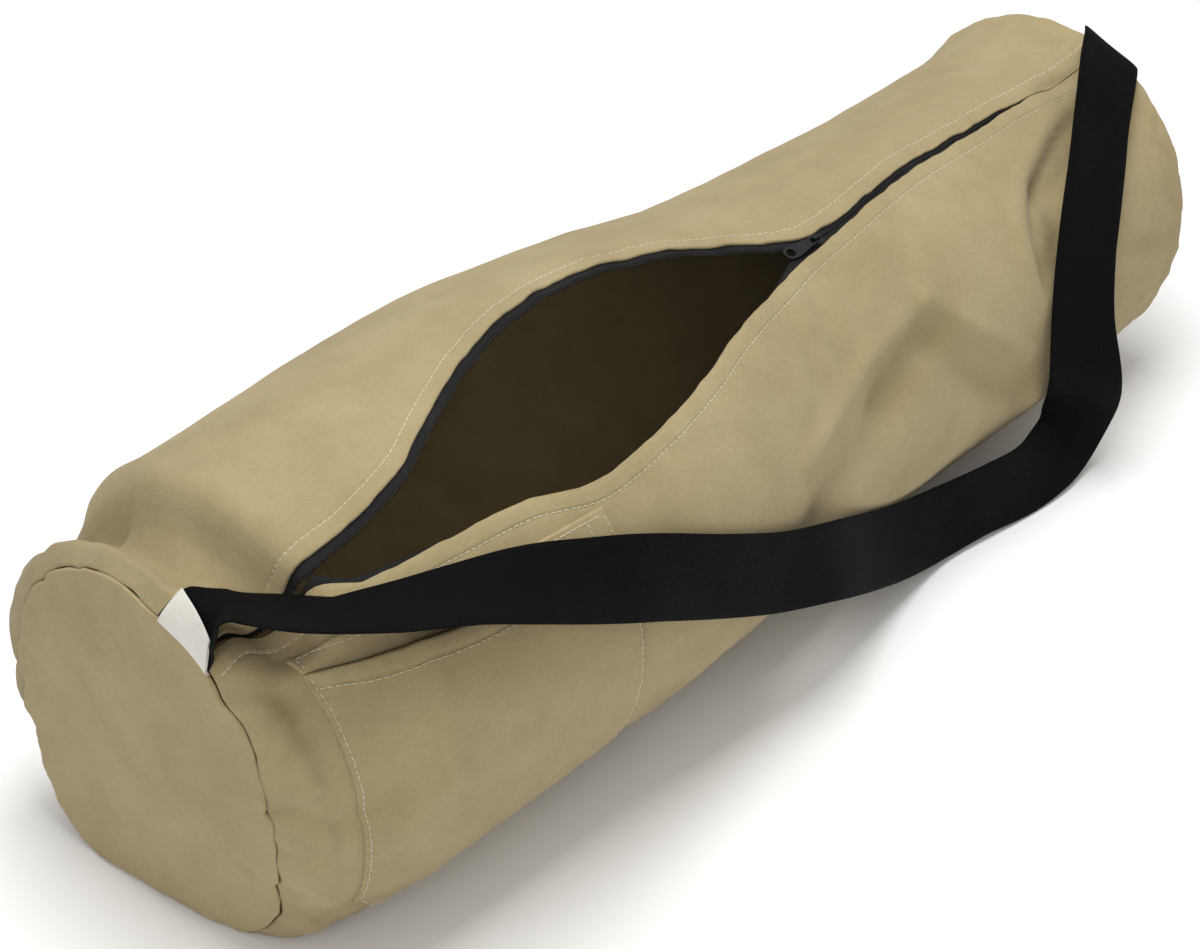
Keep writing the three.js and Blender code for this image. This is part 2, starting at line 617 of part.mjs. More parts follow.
// Heights in the slider's frame
const PLATE_UNDER = -TAPE_DEPTH + GAP;
const PLATE_TOP = PLATE_UNDER + SLIDER_PLATE;
const LOWER_TOP = -TAPE_DEPTH - TAPE - COIL_GAP - GAP - 2 * COIL_RADIUS;
const BAR_RADIUS = 0.55;
const BAIL_SPAN = 2.2; // from the middle of the bail to the inside of a leg
const BAIL_LEG = 1;
const BAIL_TUNNEL = 2.5; // clear height under the bail
const BAIL_WIDE = 2;
const PIVOT_UP = PLATE_TOP + BAIL_TUNNEL / 2;
function zipSlider() {
  const half = SLIDER_LENGTH / 2;
  const plan = roundedPlan(-half, half, SLIDER_WIDTH / 2, 1.8);
  const post = roundedPlan(-half + 0.4, -half + 2.8, 0.7, 0.4);
  const side = roundedPlan(-BAIL_SPAN - BAIL_LEG, BAIL_SPAN + BAIL_LEG, BAIL_WIDE / 2, 0.4);
  const reach = 0.3; // parts of the slider sink this far into each other
  const blocks = [
    plate(plan, PLATE_UNDER, PLATE_TOP),
    plate(plan, LOWER_TOP - SLIDER_PLATE, LOWER_TOP),
    plate(post, LOWER_TOP - reach, PLATE_UNDER + reach),
    plate(side, PLATE_TOP - reach, PLATE_TOP + BAIL_TUNNEL + BAIL_LEG),
  ].map(manifold);
  const hole = new THREE.BoxGeometry(2 * BAIL_SPAN, 3 * BAIL_WIDE, BAIL_TUNNEL);
  hole.translate(0, 0, PLATE_TOP + BAIL_TUNNEL / 2);
  const bail = blocks.pop().subtract(manifold(hole));
  const joined = blocks.reduce((a, b) => a.add(b), bail);
  return fromManifold(joined).applyMatrix4(sliderFrame());
}

const PULL_DROOP = 3; // degrees that the pull's free end hangs below the slider's own plane
const PULL_NECK = 5.8; // width of the pull at the slider
const PULL_WINDOW = 2.9; // clear width round the bail
const PULL_ARMS = 5.4; // from the pivot to the end of the window
function zipPull() {
  const shape = new THREE.Shape();
  const end = -PULL_LENGTH;
  const bow = PULL_WIDTH / 2;
  shape.moveTo(BAR_RADIUS, -PULL_NECK / 2);
  shape.lineTo(BAR_RADIUS, PULL_NECK / 2);
  shape.lineTo(-PULL_ARMS, PULL_NECK / 2);
  shape.lineTo(end + 2 * bow, bow);
  shape.bezierCurveTo(end + bow * 0.5, bow * 1.05, end, bow * 0.9, end, 0);
  shape.bezierCurveTo(end, -bow * 0.9, end + bow * 0.5, -bow * 1.05, end + 2 * bow, -bow);
  shape.lineTo(-PULL_ARMS, -PULL_NECK / 2);
  const hole = new THREE.Path();
  hole.absellipse(end + bow * 0.98, 0, bow * 0.66, bow * 0.62, 0, 2 * Math.PI);
  const window = new THREE.Path();
  window.moveTo(-BAR_RADIUS, -PULL_WINDOW / 2);
  window.lineTo(-BAR_RADIUS, PULL_WINDOW / 2);
  window.lineTo(-PULL_ARMS + 0.6, PULL_WINDOW / 2);
  window.lineTo(-PULL_ARMS + 0.6, -PULL_WINDOW / 2);
  shape.holes.push(hole, window);
  const geometry = plate(shape, -PULL_THICK / 2, PULL_THICK / 2, 6);
  geometry.rotateY((-PULL_DROOP * Math.PI) / 180);
  geometry.translate(0, 0, PIVOT_UP);
  return fromManifold(manifold(geometry)).applyMatrix4(sliderFrame());
}

const canvas = new THREE.MeshStandardMaterial({ color: 0xa89873, roughness: 0.95 });
const lightCanvas = new THREE.MeshStandardMaterial({ color: 0xb3a37d, roughness: 0.95 });
const black = new THREE.MeshStandardMaterial({ color: 0x161518, roughness: 0.9 });
const cream = new THREE.MeshStandardMaterial({ color: 0xe4dfd2, roughness: 0.9 });
const dark = new THREE.MeshStandardMaterial({ color: 0x2b2a2c, roughness: 0.6 });

const bag = new THREE.Group();
bag.name = "yoga_mat_bag";
function add(name, geometry, material) {
  const mesh = new THREE.Mesh(geometry, material.clone());
  mesh.name = name;
  bag.add(mesh);
}

add("body_panel", bodyPanel(), canvas);
add("end_disc_near", endDisc(0, NEAR_RIDGES), lightCanvas);
add("end_disc_far", endDisc(1, FAR_RIDGES), lightCanvas);
add("zip_tape_back", zipTape(-1), black);
add("zip_tape_front", zipTape(1), black);
add("zip_coil_back", zipCoil(-1), dark);
add("zip_coil_front", zipCoil(1), dark);
add("zip_slider", zipSlider(), dark);
add("zip_pull", zipPull(), dark);
add("pocket_panel", pocketPanel(), canvas);
add("pocket_facing", pocketFacing(), lightCanvas);
add("strap", strap(), black);
add("label_tab", labelTab(), cream);

export default bag;
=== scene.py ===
"""Looks of a canvas yoga mat bag that lies on its side with its zip part open.

Metres, +Z up, floor at z = 0. X runs along the bag, the pocket is on the -Y side.
"""

import logging
import math
from dataclasses import dataclass, field
from enum import Enum

import bpy
import numpy as np
from mathutils import Matrix, Vector, noise

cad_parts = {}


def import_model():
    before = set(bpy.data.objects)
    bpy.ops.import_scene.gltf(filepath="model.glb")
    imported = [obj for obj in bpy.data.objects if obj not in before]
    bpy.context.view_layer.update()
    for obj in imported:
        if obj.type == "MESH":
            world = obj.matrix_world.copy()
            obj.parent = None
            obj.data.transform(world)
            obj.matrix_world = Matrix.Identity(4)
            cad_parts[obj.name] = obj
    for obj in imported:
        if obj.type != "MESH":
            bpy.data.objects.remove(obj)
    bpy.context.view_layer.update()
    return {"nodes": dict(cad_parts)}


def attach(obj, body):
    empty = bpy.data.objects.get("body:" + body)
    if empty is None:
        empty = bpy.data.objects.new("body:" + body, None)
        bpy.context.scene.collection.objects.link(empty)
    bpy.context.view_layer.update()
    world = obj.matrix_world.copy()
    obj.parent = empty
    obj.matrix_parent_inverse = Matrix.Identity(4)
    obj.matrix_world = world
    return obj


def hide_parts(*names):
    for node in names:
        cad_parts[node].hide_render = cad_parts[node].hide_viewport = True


LOG = logging.getLogger("mat_bag")

# Driving sizes, in metres
BAG_LENGTH = 0.760
END_RADIUS = 0.106
CANVAS = 0.0016
GAP = 0.0003
TAPE = 0.0008
COIL_RADIUS = 0.0011
SLIDER_AT = 0.63
SEAM_TUCK = 0.014
FAR_LEAN = 0.013
FULLNESS = 2.06
SEAM_ROLL = 0.0015

Table = dict[str, np.ndarray]


def table(names: str, rows: list[tuple[float, ...]]) -> Table:
    """Turns rows of numbers into named columns.

    Args:
        names: The column names, separated by spaces.
        rows: One tuple for each row, in the order of the names.

    Returns:
        Each column as an array, under its name.
    """
    columns = np.array(rows, float).T
    return dict(zip(names.split(), columns))


# Sections from the near end to the far end: shares of the length and of the end radius
SECTIONS = table(
    "along wide tall press sway",
    [
        (0, 0.925, 1.1, 0.13, 0.02),
        (0.02, 1.15, 1.11, 0.15, 0.01),
        (0.042, 1.11, 1.08, 0.13, -0.06),
        (0.056, 1.12, 1.1, 0.1, -0.09),
        (0.067, 1.22, 1.2, 0.08, -0.11),
        (0.08, 1.24, 1.22, 0.07, -0.12),
        (0.13, 1.24, 1.215, 0.05, -0.13),
        (0.25, 1.27, 1.22, 0.05, -0.13),
        (0.35, 1.29, 1.21, 0.05, -0.14),
        (0.43, 1.25, 1.17, 0.05, -0.13),
        (0.5, 1.19, 1.125, 0.05, -0.12),
        (0.6, 1.1, 1.055, 0.06, -0.11),
        (0.7, 1.06, 1.02, 0.06, -0.11),
        (0.85, 1.05, 0.97, 0.06, -0.1),
        (0.95, 1.01, 0.96, 0.06, -0.08),
        (1, 1, 1, 0.06, -0.06),
    ],
)

# The two lips of the zip: degrees from the top of the section, to the front
LIPS = table(
    "along front back",
    [
        (0, 30, 27.5),
        (0.03, 28.5, 25.5),
        (0.065, 31, 25),
        (0.1, 37, 24.5),
        (0.17, 39.5, 20),
        (0.23, 41.5, 11),
        (0.3, 47, 1),
        (0.36, 45, -5),
        (0.43, 40, -8),
        (0.49, 33.5, -4.5),
        (0.56, 27, 5),
        (0.61, 22, 13.5),
        (0.63, 20.8, 15.6),
        (0.79, 12.6, 8),
        (0.89, 12, 8.5),
        (1, 17.2, 14.8),
    ],
)

# Soft folds: from and to as share of the length and degrees, width and height as shares of the radius
FOLDS = [
    (0.05, -65, 0.056, -38, 0.08, -0.05),
    (0.056, -38, 0.03, 2, 0.09, -0.05),
    (0.014, 14, 0.045, 22, 0.16, -0.05),
    (0.068, -70, 0.068, -36, 0.07, -0.05),
    (0.049, 52, 0.049, 128, 0.1, 0.055),
    (0.072, 56, 0.072, 124, 0.1, -0.02),
    (0.008, 40, 0.03, 50, 0.06, -0.03),
    (0.008, 76, 0.032, 84, 0.05, -0.03),
    (0.006, 114, 0.042, 130, 0.06, -0.04),
    (0, -140, 0.03, -140, 0.22, 0.08),
    (0.01, 142, 0.05, 142, 0.3, 0.04),
    (0.67, 54, 0.61, 72, 0.14, -0.045),
    (0.61, 72, 0.78, 92, 0.24, -0.06),
    (0.945, 31, 0.86, 43, 0.11, -0.055),
    (0.86, 43, 0.83, 64, 0.12, -0.05),
    (0.9, -38, 0.98, 0, 0.08, -0.03),
]


@dataclass(frozen=True)
class Crease:
    """A fine crease or ridge that only the fine mesh has.

    Attributes:
        path: Places that it runs through: share of the length and degrees.
        wide: Its half width, in metres.
        rise: Its height in metres, negative for a crease.
    """

    path: tuple[tuple[float, float], ...]
    wide: float
    rise: float


CREASES = (
    # The large dent on the front: its crest on both sides and the hollow below
    Crease(((0.49, 71), (0.595, 57), (0.676, 52)), 0.0070, 0.0042),
    Crease(((0.684, 52), (0.715, 65), (0.785, 89)), 0.0070, 0.0044),
    Crease(((0.50, 90), (0.61, 72), (0.682, 63)), 0.0150, -0.0076),
    Crease(((0.682, 65), (0.715, 82), (0.79, 104)), 0.0150, -0.0074),
    Crease(((0.585, 32), (0.578, 42), (0.57, 52)), 0.0050, -0.0016),
    Crease(((0.55, 35), (0.545, 44), (0.535, 54)), 0.0050, -0.0013),
    Crease(((0.60, 33), (0.60, 44), (0.61, 56)), 0.006, 0.0008),
    # The bowed dents beside the strap's far end
    Crease(((0.94, 27), (0.9, 32), (0.865, 38), (0.835, 45), (0.82, 55), (0.815, 68)), 0.0048, -0.0036),
    Crease(((0.925, 24), (0.885, 29), (0.85, 35), (0.815, 44), (0.80, 58)), 0.006, 0.0020),
    Crease(((0.915, 38), (0.885, 43), (0.862, 50), (0.845, 60)), 0.004, -0.0020),
    Crease(((0.955, 20), (0.93, 34), (0.90, 50)), 0.005, 0.0012),
    # Fine pulls on the far top, towards the strap's far end
    Crease(((0.985, -46), (0.990, -22), (0.995, 2)), 0.0035, -0.0018),
    Crease(((0.955, -44), (0.968, -22), (0.982, 0)), 0.0038, -0.0013),
    Crease(((0.925, -34), (0.95, -20), (0.972, -8), (0.985, 4)), 0.0038, -0.0016),
    Crease(((0.90, -24), (0.93, -12), (0.965, 0)), 0.004, 0.0012),
    Crease(((0.80, -17), (0.86, -10), (0.92, -3), (0.96, 3)), 0.004, -0.0014),
    Crease(((0.77, -10), (0.83, -5), (0.89, -1)), 0.0045, 0.0011),
    Crease(((0.945, 12), (0.962, 16), (0.98, 22)), 0.006, -0.0032),
    Crease(((0.995, 46), (0.985, 52), (0.992, 60)), 0.003, -0.0022),
    Crease(((0.91, 76), (0.95, 82), (0.99, 88)), 0.007, -0.0026),
    # The near end: creases that start at its seam
    Crease(((-0.002, 79), (0.008, 77.5), (0.02, 74)), 0.0028, -0.0030),
    Crease(((-0.002, 84), (0.01, 82), (0.022, 80)), 0.0035, 0.0014),
    Crease(((-0.002, 116), (0.008, 113), (0.02, 108)), 0.0024, -0.0026),
    Crease(((-0.002, 118), (0.008, 121), (0.02, 126)), 0.0026, -0.0022),
    Crease(((0.0, 128), (0.015, 130), (0.03, 134)), 0.004, 0.0016),
    Crease(((-0.002, 36), (0.006, 42), (0.014, 50), (0.024, 57)), 0.006, -0.0012),
    Crease(((0.0, 52), (0.01, 60), (0.016, 70)), 0.005, 0.0014),
    Crease(((-0.002, -20), (0.012, -22), (0.03, -30)), 0.0035, -0.0016),
    Crease(((-0.002, -40), (0.012, -44), (0.03, -50)), 0.004, -0.0018),
    Crease(((-0.002, -92), (0.01, -92), (0.03, -94)), 0.0045, -0.0040),
    Crease(((-0.002, -112), (0.01, -113), (0.03, -114)), 0.004, -0.0034),
    Crease(((-0.002, -78), (0.012, -79), (0.022, -80)), 0.007, 0.0022),
    Crease(((-0.002, -102), (0.012, -102), (0.022, -103)), 0.006, 0.0022),
    # The shoulder behind the near end
    Crease(((0.058, -58), (0.046, -34), (0.038, -14), (0.03, 4)), 0.006, -0.0034),
    Crease(((0.085, -62), (0.08, -40), (0.07, -20), (0.062, 2)), 0.007, 0.0014),
    Crease(((0.09, -20), (0.13, -12), (0.2, -8)), 0.006, -0.0010),
    Crease(((0.11, -42), (0.18, -30), (0.27, -26)), 0.008, -0.0018),
    Crease(((0.30, -32), (0.38, -26), (0.46, -28)), 0.009, -0.0016),
    Crease(((0.56, -22), (0.66, -14), (0.74, -12)), 0.007, -0.0014),
    Crease(((0.62, -34), (0.72, -28), (0.82, -30)), 0.008, -0.0016),
    Crease(((0.33, 70), (0.42, 84), (0.5, 98)), 0.007, -0.0010),
    Crease(((0.36, 50), (0.42, 55), (0.48, 62)), 0.005, -0.0008),
)


def monotone(columns: Table, name: str, at: np.ndarray) -> np.ndarray:
    """A named column of a table at places along it, by a smooth curve that never overshoots.

    Args:
        columns: The table, with its places under "along".
        name: The column.
        at: Places along the table.

    Returns:
        The column's values at those places.
    """
    x, y = columns["along"], columns[name]
    step = np.diff(y) / np.diff(x)
    slope = np.concatenate([[step[0]], np.zeros(len(x) - 2), [step[-1]]])
    before, after = step[:-1], step[1:]
    same = before * after > 0
    total = np.where(same, before + after, 1)
    slope[1:-1] = np.where(same, 2 * before * after / total, 0)
    k = np.clip(np.searchsorted(x, at, "right") - 1, 0, len(x) - 2)
    span = x[k + 1] - x[k]
    t = np.clip((at - x[k]) / span, 0, 1)
    return (
        y[k] * (2 * t**3 - 3 * t**2 + 1)
        + y[k + 1] * (3 * t**2 - 2 * t**3)
        + span * (slope[k] * (t**3 - 2 * t**2 + t) + slope[k + 1] * (t**3 - t**2))
    )


def smooth(x: np.ndarray | float, low: float, high: float) -> np.ndarray:
    """Rises from 0 at low to 1 at high, level at both ends."""
    t = np.clip((np.asarray(x, float) - low) / (high - low), 0, 1)
    return t * t * (3 - 2 * t)


def unit(v: np.ndarray) -> np.ndarray:
    """Vectors scaled to length 1."""
    return v / np.maximum(np.linalg.norm(v, axis=-1, keepdims=True), 1e-12)


def waver(x: np.ndarray, period: float, seed: float) -> np.ndarray:
    """A smooth wander between about -1 and 1.

    Args:
        x: Distances in metres.
        period: The usual distance between two crests.
        seed: Any number; each gives its own wander.

    Returns:
        The wander at each distance.
    """
    phase = 2 * math.pi * np.asarray(x, float) / period
    parts = np.sin(phase + seed) + 0.6 * np.sin(1.7 * phase + 2.3 * seed)
    parts = parts + 0.4 * np.sin(2.9 * phase + 5.1 * seed)
    return parts / 1.6


def cloth_noise(points: np.ndarray, size: float, seed: float) -> np.ndarray:
    """Soft noise between -1 and 1 at points in space.

    Args:
        points: An array of points, the last axis of length 3.
        size: The size of the noise's lumps.
        seed: An offset that gives each use its own noise.

    Returns:
        One number for each point.
    """
    flat = points.reshape(-1, 3) / size + seed
    return np.array([noise.noise(Vector(p)) for p in flat]).reshape(points.shape[:-1])


def from_run(p: np.ndarray, q: np.ndarray, a: np.ndarray, b: np.ndarray) -> np.ndarray:
    """How far points (p, q) of the flat cloth lie from the straight run from a to b.

    Args:
        p: The points' first measures.
        q: Their second measures.
        a: The run's start.
        b: Its end.

    Returns:
        The distances.
    """
    d = b - a
    t = np.clip(((p - a[0]) * d[0] + (q - a[1]) * d[1]) / (d @ d), 0, 1)
    return np.hypot(p - a[0] - t * d[0], q - a[1] - t * d[1])


class Wrap:
    """The bag's round wall as a formula: where its outer face is, and which way is out."""

    def relief(self, along: np.ndarray, turn: np.ndarray, fine: bool) -> np.ndarray:
        """The height of the folds.

        Args:
            along: Shares of the bag's length.
            turn: Degrees from the top, to the front.
            fine: Whether the fine creases are added.

        Returns:
            Heights in metres.
        """
        height = np.zeros(np.broadcast(along, turn).shape)
        for s0, t0, s1, t1, wide, rise in FOLDS:
            height += rise * END_RADIUS * self.ridge(along, turn, ((s0, t0), (s1, t1)), wide * END_RADIUS)
        for crease in CREASES if fine else ():
            height += crease.rise * self.ridge(along, turn, crease.path, crease.wide)
        return height

    def ridge(self, along: np.ndarray, turn: np.ndarray, path: tuple, wide: float) -> np.ndarray:
        """The height of a ridge of height 1 along a path on the wrap.

        Args:
            along: Shares of the bag's length.
            turn: Degrees from the top.
            path: Places that the ridge runs through.
            wide: Its half width, in metres.

        Returns:
            Shares of its height.
        """
        places = [np.array([s * BAG_LENGTH, math.radians(t) * END_RADIUS]) for s, t in path]
        signed = (turn + 180) % 360 - 180
        total = np.zeros(np.broadcast(along, turn).shape)
        for whole in (-360, 0, 360):
            q = np.radians(signed + whole) * END_RADIUS
            far = np.min([from_run(along * BAG_LENGTH, q, a, b) for a, b in zip(places, places[1:])], axis=0)
            total += np.exp(-((far / wide) ** 2))
        return total

    def skin(self, along: np.ndarray, turn: np.ndarray, fine: bool = False) -> np.ndarray:
        """Points of the outer face.

        Args:
            along: Shares of the bag's length.
            turn: Degrees from the top, to the front.
            fine: Whether the fine creases are added.

        Returns:
            An array of points in metres.
        """
        along, turn = np.broadcast_arrays(np.asarray(along, float), np.asarray(turn, float))
        wide, tall, press, sway = (
            monotone(SECTIONS, name, along) * END_RADIUS for name in ("wide", "tall", "press", "sway")
        )
        s, c = np.sin(np.radians(turn)), np.cos(np.radians(turn))
        radius = (np.abs(s / wide) ** FULLNESS + np.abs(c / tall) ** FULLNESS) ** (-1 / FULLNESS)
        radius = radius + self.relief(along, turn, fine)
        signed = (turn + 180) % 360 - 180
        tuck = SEAM_TUCK * np.exp(-(((turn % 360 - 140) / 34) ** 2)) * (1 - smooth(along, 0, 0.08))
        lean = FAR_LEAN * c * smooth(along, 0.9, 1)
        x = (along - 0.5) * BAG_LENGTH + tuck + lean
        if fine:
            ends = np.minimum(along, 1 - along) * BAG_LENGTH
            x = x + 0.0009 * waver(np.radians(signed) * END_RADIUS, 0.06, 3.7) * np.exp(-ends / 0.014)
        points = np.stack([x, sway - radius * s, np.maximum(0, tall - press + radius * c)], -1)
        return self.bridged(points, along, signed) if fine else points

    def bridged(self, points: np.ndarray, along: np.ndarray, turn: np.ndarray) -> np.ndarray:
        """Lets the front of the wrap span the step behind the near end, under the pocket's edge.

        Args:
            points: Points of the wrap.
            along: Their shares of the bag's length.
            turn: Their degrees from the top.

        Returns:
            The points, moved where the cloth spans the step.
        """
        low, high = 0.026, 0.104
        inside = (along > low) & (along < high) & (turn > 36) & (turn < 142)
        if not inside.any():
            return points
        s, t = along[inside], turn[inside]
        first, last = self.skin(np.full_like(s, low), t), self.skin(np.full_like(s, high), t)
        share = (s - low) / (high - low)
        eased = share + 0.32 * share * (1 - share)
        span = first + (last - first) * eased[:, None]
        span[:, 0] = points[inside][:, 0]
        weight = smooth(t, 36, 46) * (1 - smooth(t, 122, 142))
        weight = weight * smooth(share, 0, 0.12) * (1 - smooth(share, 0.88, 1))
        moved = points.copy()
        moved[inside] = points[inside] + (span - points[inside]) * weight[:, None]
        return moved

    def outward(self, along: np.ndarray, turn: np.ndarray, fine: bool = False) -> np.ndarray:
        """The direction straight out of the wrap at each place.

        Args:
            along: Shares of the bag's length.
            turn: Degrees from the top.
            fine: With the fine creases.

        Returns:
            Directions of length 1.
        """
        low, high = np.clip(along - 0.002, 0, 1), np.clip(along + 0.002, 0, 1)
        run = self.skin(high, turn, fine) - self.skin(low, turn, fine)
        round_ = self.skin(along, turn + 0.7, fine) - self.skin(along, turn - 0.7, fine)
        n = unit(np.cross(run, round_))
        middle = np.stack(
            [
                (along - 0.5) * BAG_LENGTH + 0 * turn,
                monotone(SECTIONS, "sway", along) * END_RADIUS + 0 * turn,
                np.full(np.broadcast(along, turn).shape, END_RADIUS),
            ],
            -1,
        )
        inward = ((self.skin(along, turn, fine) - middle) * n).sum(-1) < 0
        n = np.where(inward[..., None], -n, n)
        ends = (along <= 0) | (along >= 1)
        n[..., 0] = np.where(ends, 0, n[..., 0])
        return unit(n)

    def lip(self, along: np.ndarray, side: str) -> np.ndarray:
        """Degrees of one lip of the zip, "front" or "back"."""
        return monotone(LIPS, side, along)

    def degrees(self, along: np.ndarray, length: np.ndarray | float) -> np.ndarray:
        """Degrees that an arc of some length takes at a place."""
        return np.degrees(length / (monotone(SECTIONS, "wide", along) * END_RADIUS))


WRAP = Wrap()


def seam_share(turn: np.ndarray, end: np.ndarray | int) -> np.ndarray:
    """How much the wrap flares at a place of a seam: 1 at the sides of the near seam, else 0."""
    return np.sin(np.radians(turn)) ** 2 * (np.asarray(end) < 0.5)


@dataclass(frozen=True)
class Grid:
    """A grid of points with their place on the flat cloth, ready to become a mesh.

    Attributes:
        points: Rows by columns by 3, in metres.
        cloth: Rows by columns by 2, the place on the flat cloth in metres.
    """

    points: np.ndarray
    cloth: np.ndarray


def mesh_object(
    name: str, vertices: np.ndarray, faces: np.ndarray | list, uv: np.ndarray | None = None
) -> bpy.types.Object:
    """Makes a smooth-shaded object from points and faces.

    Args:
        name: The object's name.
        vertices: Points in metres.
        faces: Vertex numbers, one row for each face.
        uv: The flat cloth's place of each vertex, or nothing.

    Returns:
        The new object, linked to the scene.
    """
    mesh = bpy.data.meshes.new(name)
    mesh.from_pydata(vertices.tolist(), [], [list(map(int, f)) for f in faces])
    if uv is not None:
        layer = mesh.uv_layers.new(name="cloth")
        loops = np.zeros(len(mesh.loops), int)
        mesh.loops.foreach_get("vertex_index", loops)
        layer.data.foreach_set("uv", uv[loops].astype(np.float32).ravel())
    mesh.polygons.foreach_set("use_smooth", np.ones(len(mesh.polygons), bool))
    mesh.update()
    thing = bpy.data.objects.new(name, mesh)
    bpy.context.scene.collection.objects.link(thing)
    return thing


def grid_faces(rows: int, columns: int, start: int = 0) -> np.ndarray:
    """The four-sided faces of a grid of points.

    Args:
        rows: The number of rows.
        columns: The number of columns.
        start: The number of its first point.

    Returns:
        One row of four points for each face.
    """
    i, j = np.meshgrid(np.arange(rows - 1), np.arange(columns - 1), indexing="ij")
    a = start + i * columns + j
    return np.stack([a, a + columns, a + columns + 1, a + 1], -1).reshape(-1, 4)


def cloth_object(name: str, top: Grid, bottom: Grid) -> bpy.types.Object:
    """A closed sheet of cloth between two equal grids, with rounded borders.

    Args:
        name: The object's name.
        top: The outer face.
        bottom: The inner face.

    Returns:
        The new object.
    """
    rows, columns = top.points.shape[:2]
    count = rows * columns
    vertices = np.concatenate([top.points.reshape(-1, 3), bottom.points.reshape(-1, 3)])
    uv = np.concatenate([top.cloth.reshape(-1, 2), bottom.cloth.reshape(-1, 2)])
    faces = [grid_faces(rows, columns), grid_faces(rows, columns, count)[:, ::-1]]
    border = np.concatenate(
        [
            np.arange(columns),
            np.arange(1, rows) * columns + columns - 1,
            (rows - 1) * columns + np.arange(columns - 2, -1, -1),
            np.arange(rows - 2, 0, -1) * columns,
        ]
    )
    following = np.roll(border, -1)
    middle = (vertices[border] + vertices[border + count]) / 2
    inside = np.concatenate(
        [
            top.points[1, :],
            top.points[1:, -2],
            top.points[-2, -2::-1],
            top.points[-2:0:-1, 1],
        ]
    )
    bulge = middle + unit(middle - inside) * np.linalg.norm(
        vertices[border] - vertices[border + count], axis=1, keepdims=True
    ) * 0.3
    edge = 2 * count + np.arange(len(border))
    after = np.roll(edge, -1)
    vertices = np.concatenate([vertices, bulge])
    uv = np.concatenate([uv, uv[border]])
    faces.append(np.stack([border, following, after, edge], -1))
    faces.append(np.stack([edge, after, following + count, border + count], -1))
    thing = mesh_object(name, vertices, np.concatenate(faces), uv)
    outward_faces(thing)
    return thing


def outward_faces(thing: bpy.types.Object) -> None:
    """Turns a closed mesh's faces so that they look out.

    Args:
        thing: The object of the mesh.
    """
    mesh = thing.data
    mesh.calc_loop_triangles()
    co = np.zeros(len(mesh.vertices) * 3)
    mesh.vertices.foreach_get("co", co)
    tri = np.zeros(len(mesh.loop_triangles) * 3, int)
    mesh.loop_triangles.foreach_get("vertices", tri)
    p = co.reshape(-1, 3)[tri.reshape(-1, 3)]
    if np.einsum("ij,ij->i", p[:, 0], np.cross(p[:, 1], p[:, 2])).sum() < 0:
        mesh.flip_normals()


class Socket(Enum):
    """The sockets of the surface shader that the finishes set."""

    COLOUR = "Base Color"
    ROUGHNESS = "Roughness"
    SHEEN = "Sheen Weight"
    SHEEN_ROUGHNESS = "Sheen Roughness"
    SPECULAR = "Specular IOR Level"
    METAL = "Metallic"
    COAT = "Coat Weight"
    COAT_ROUGHNESS = "Coat Roughness"


class Weave(Enum):
    """How the threads of a cloth cross."""

    PLAIN = "plain"
    TWILL = "twill"


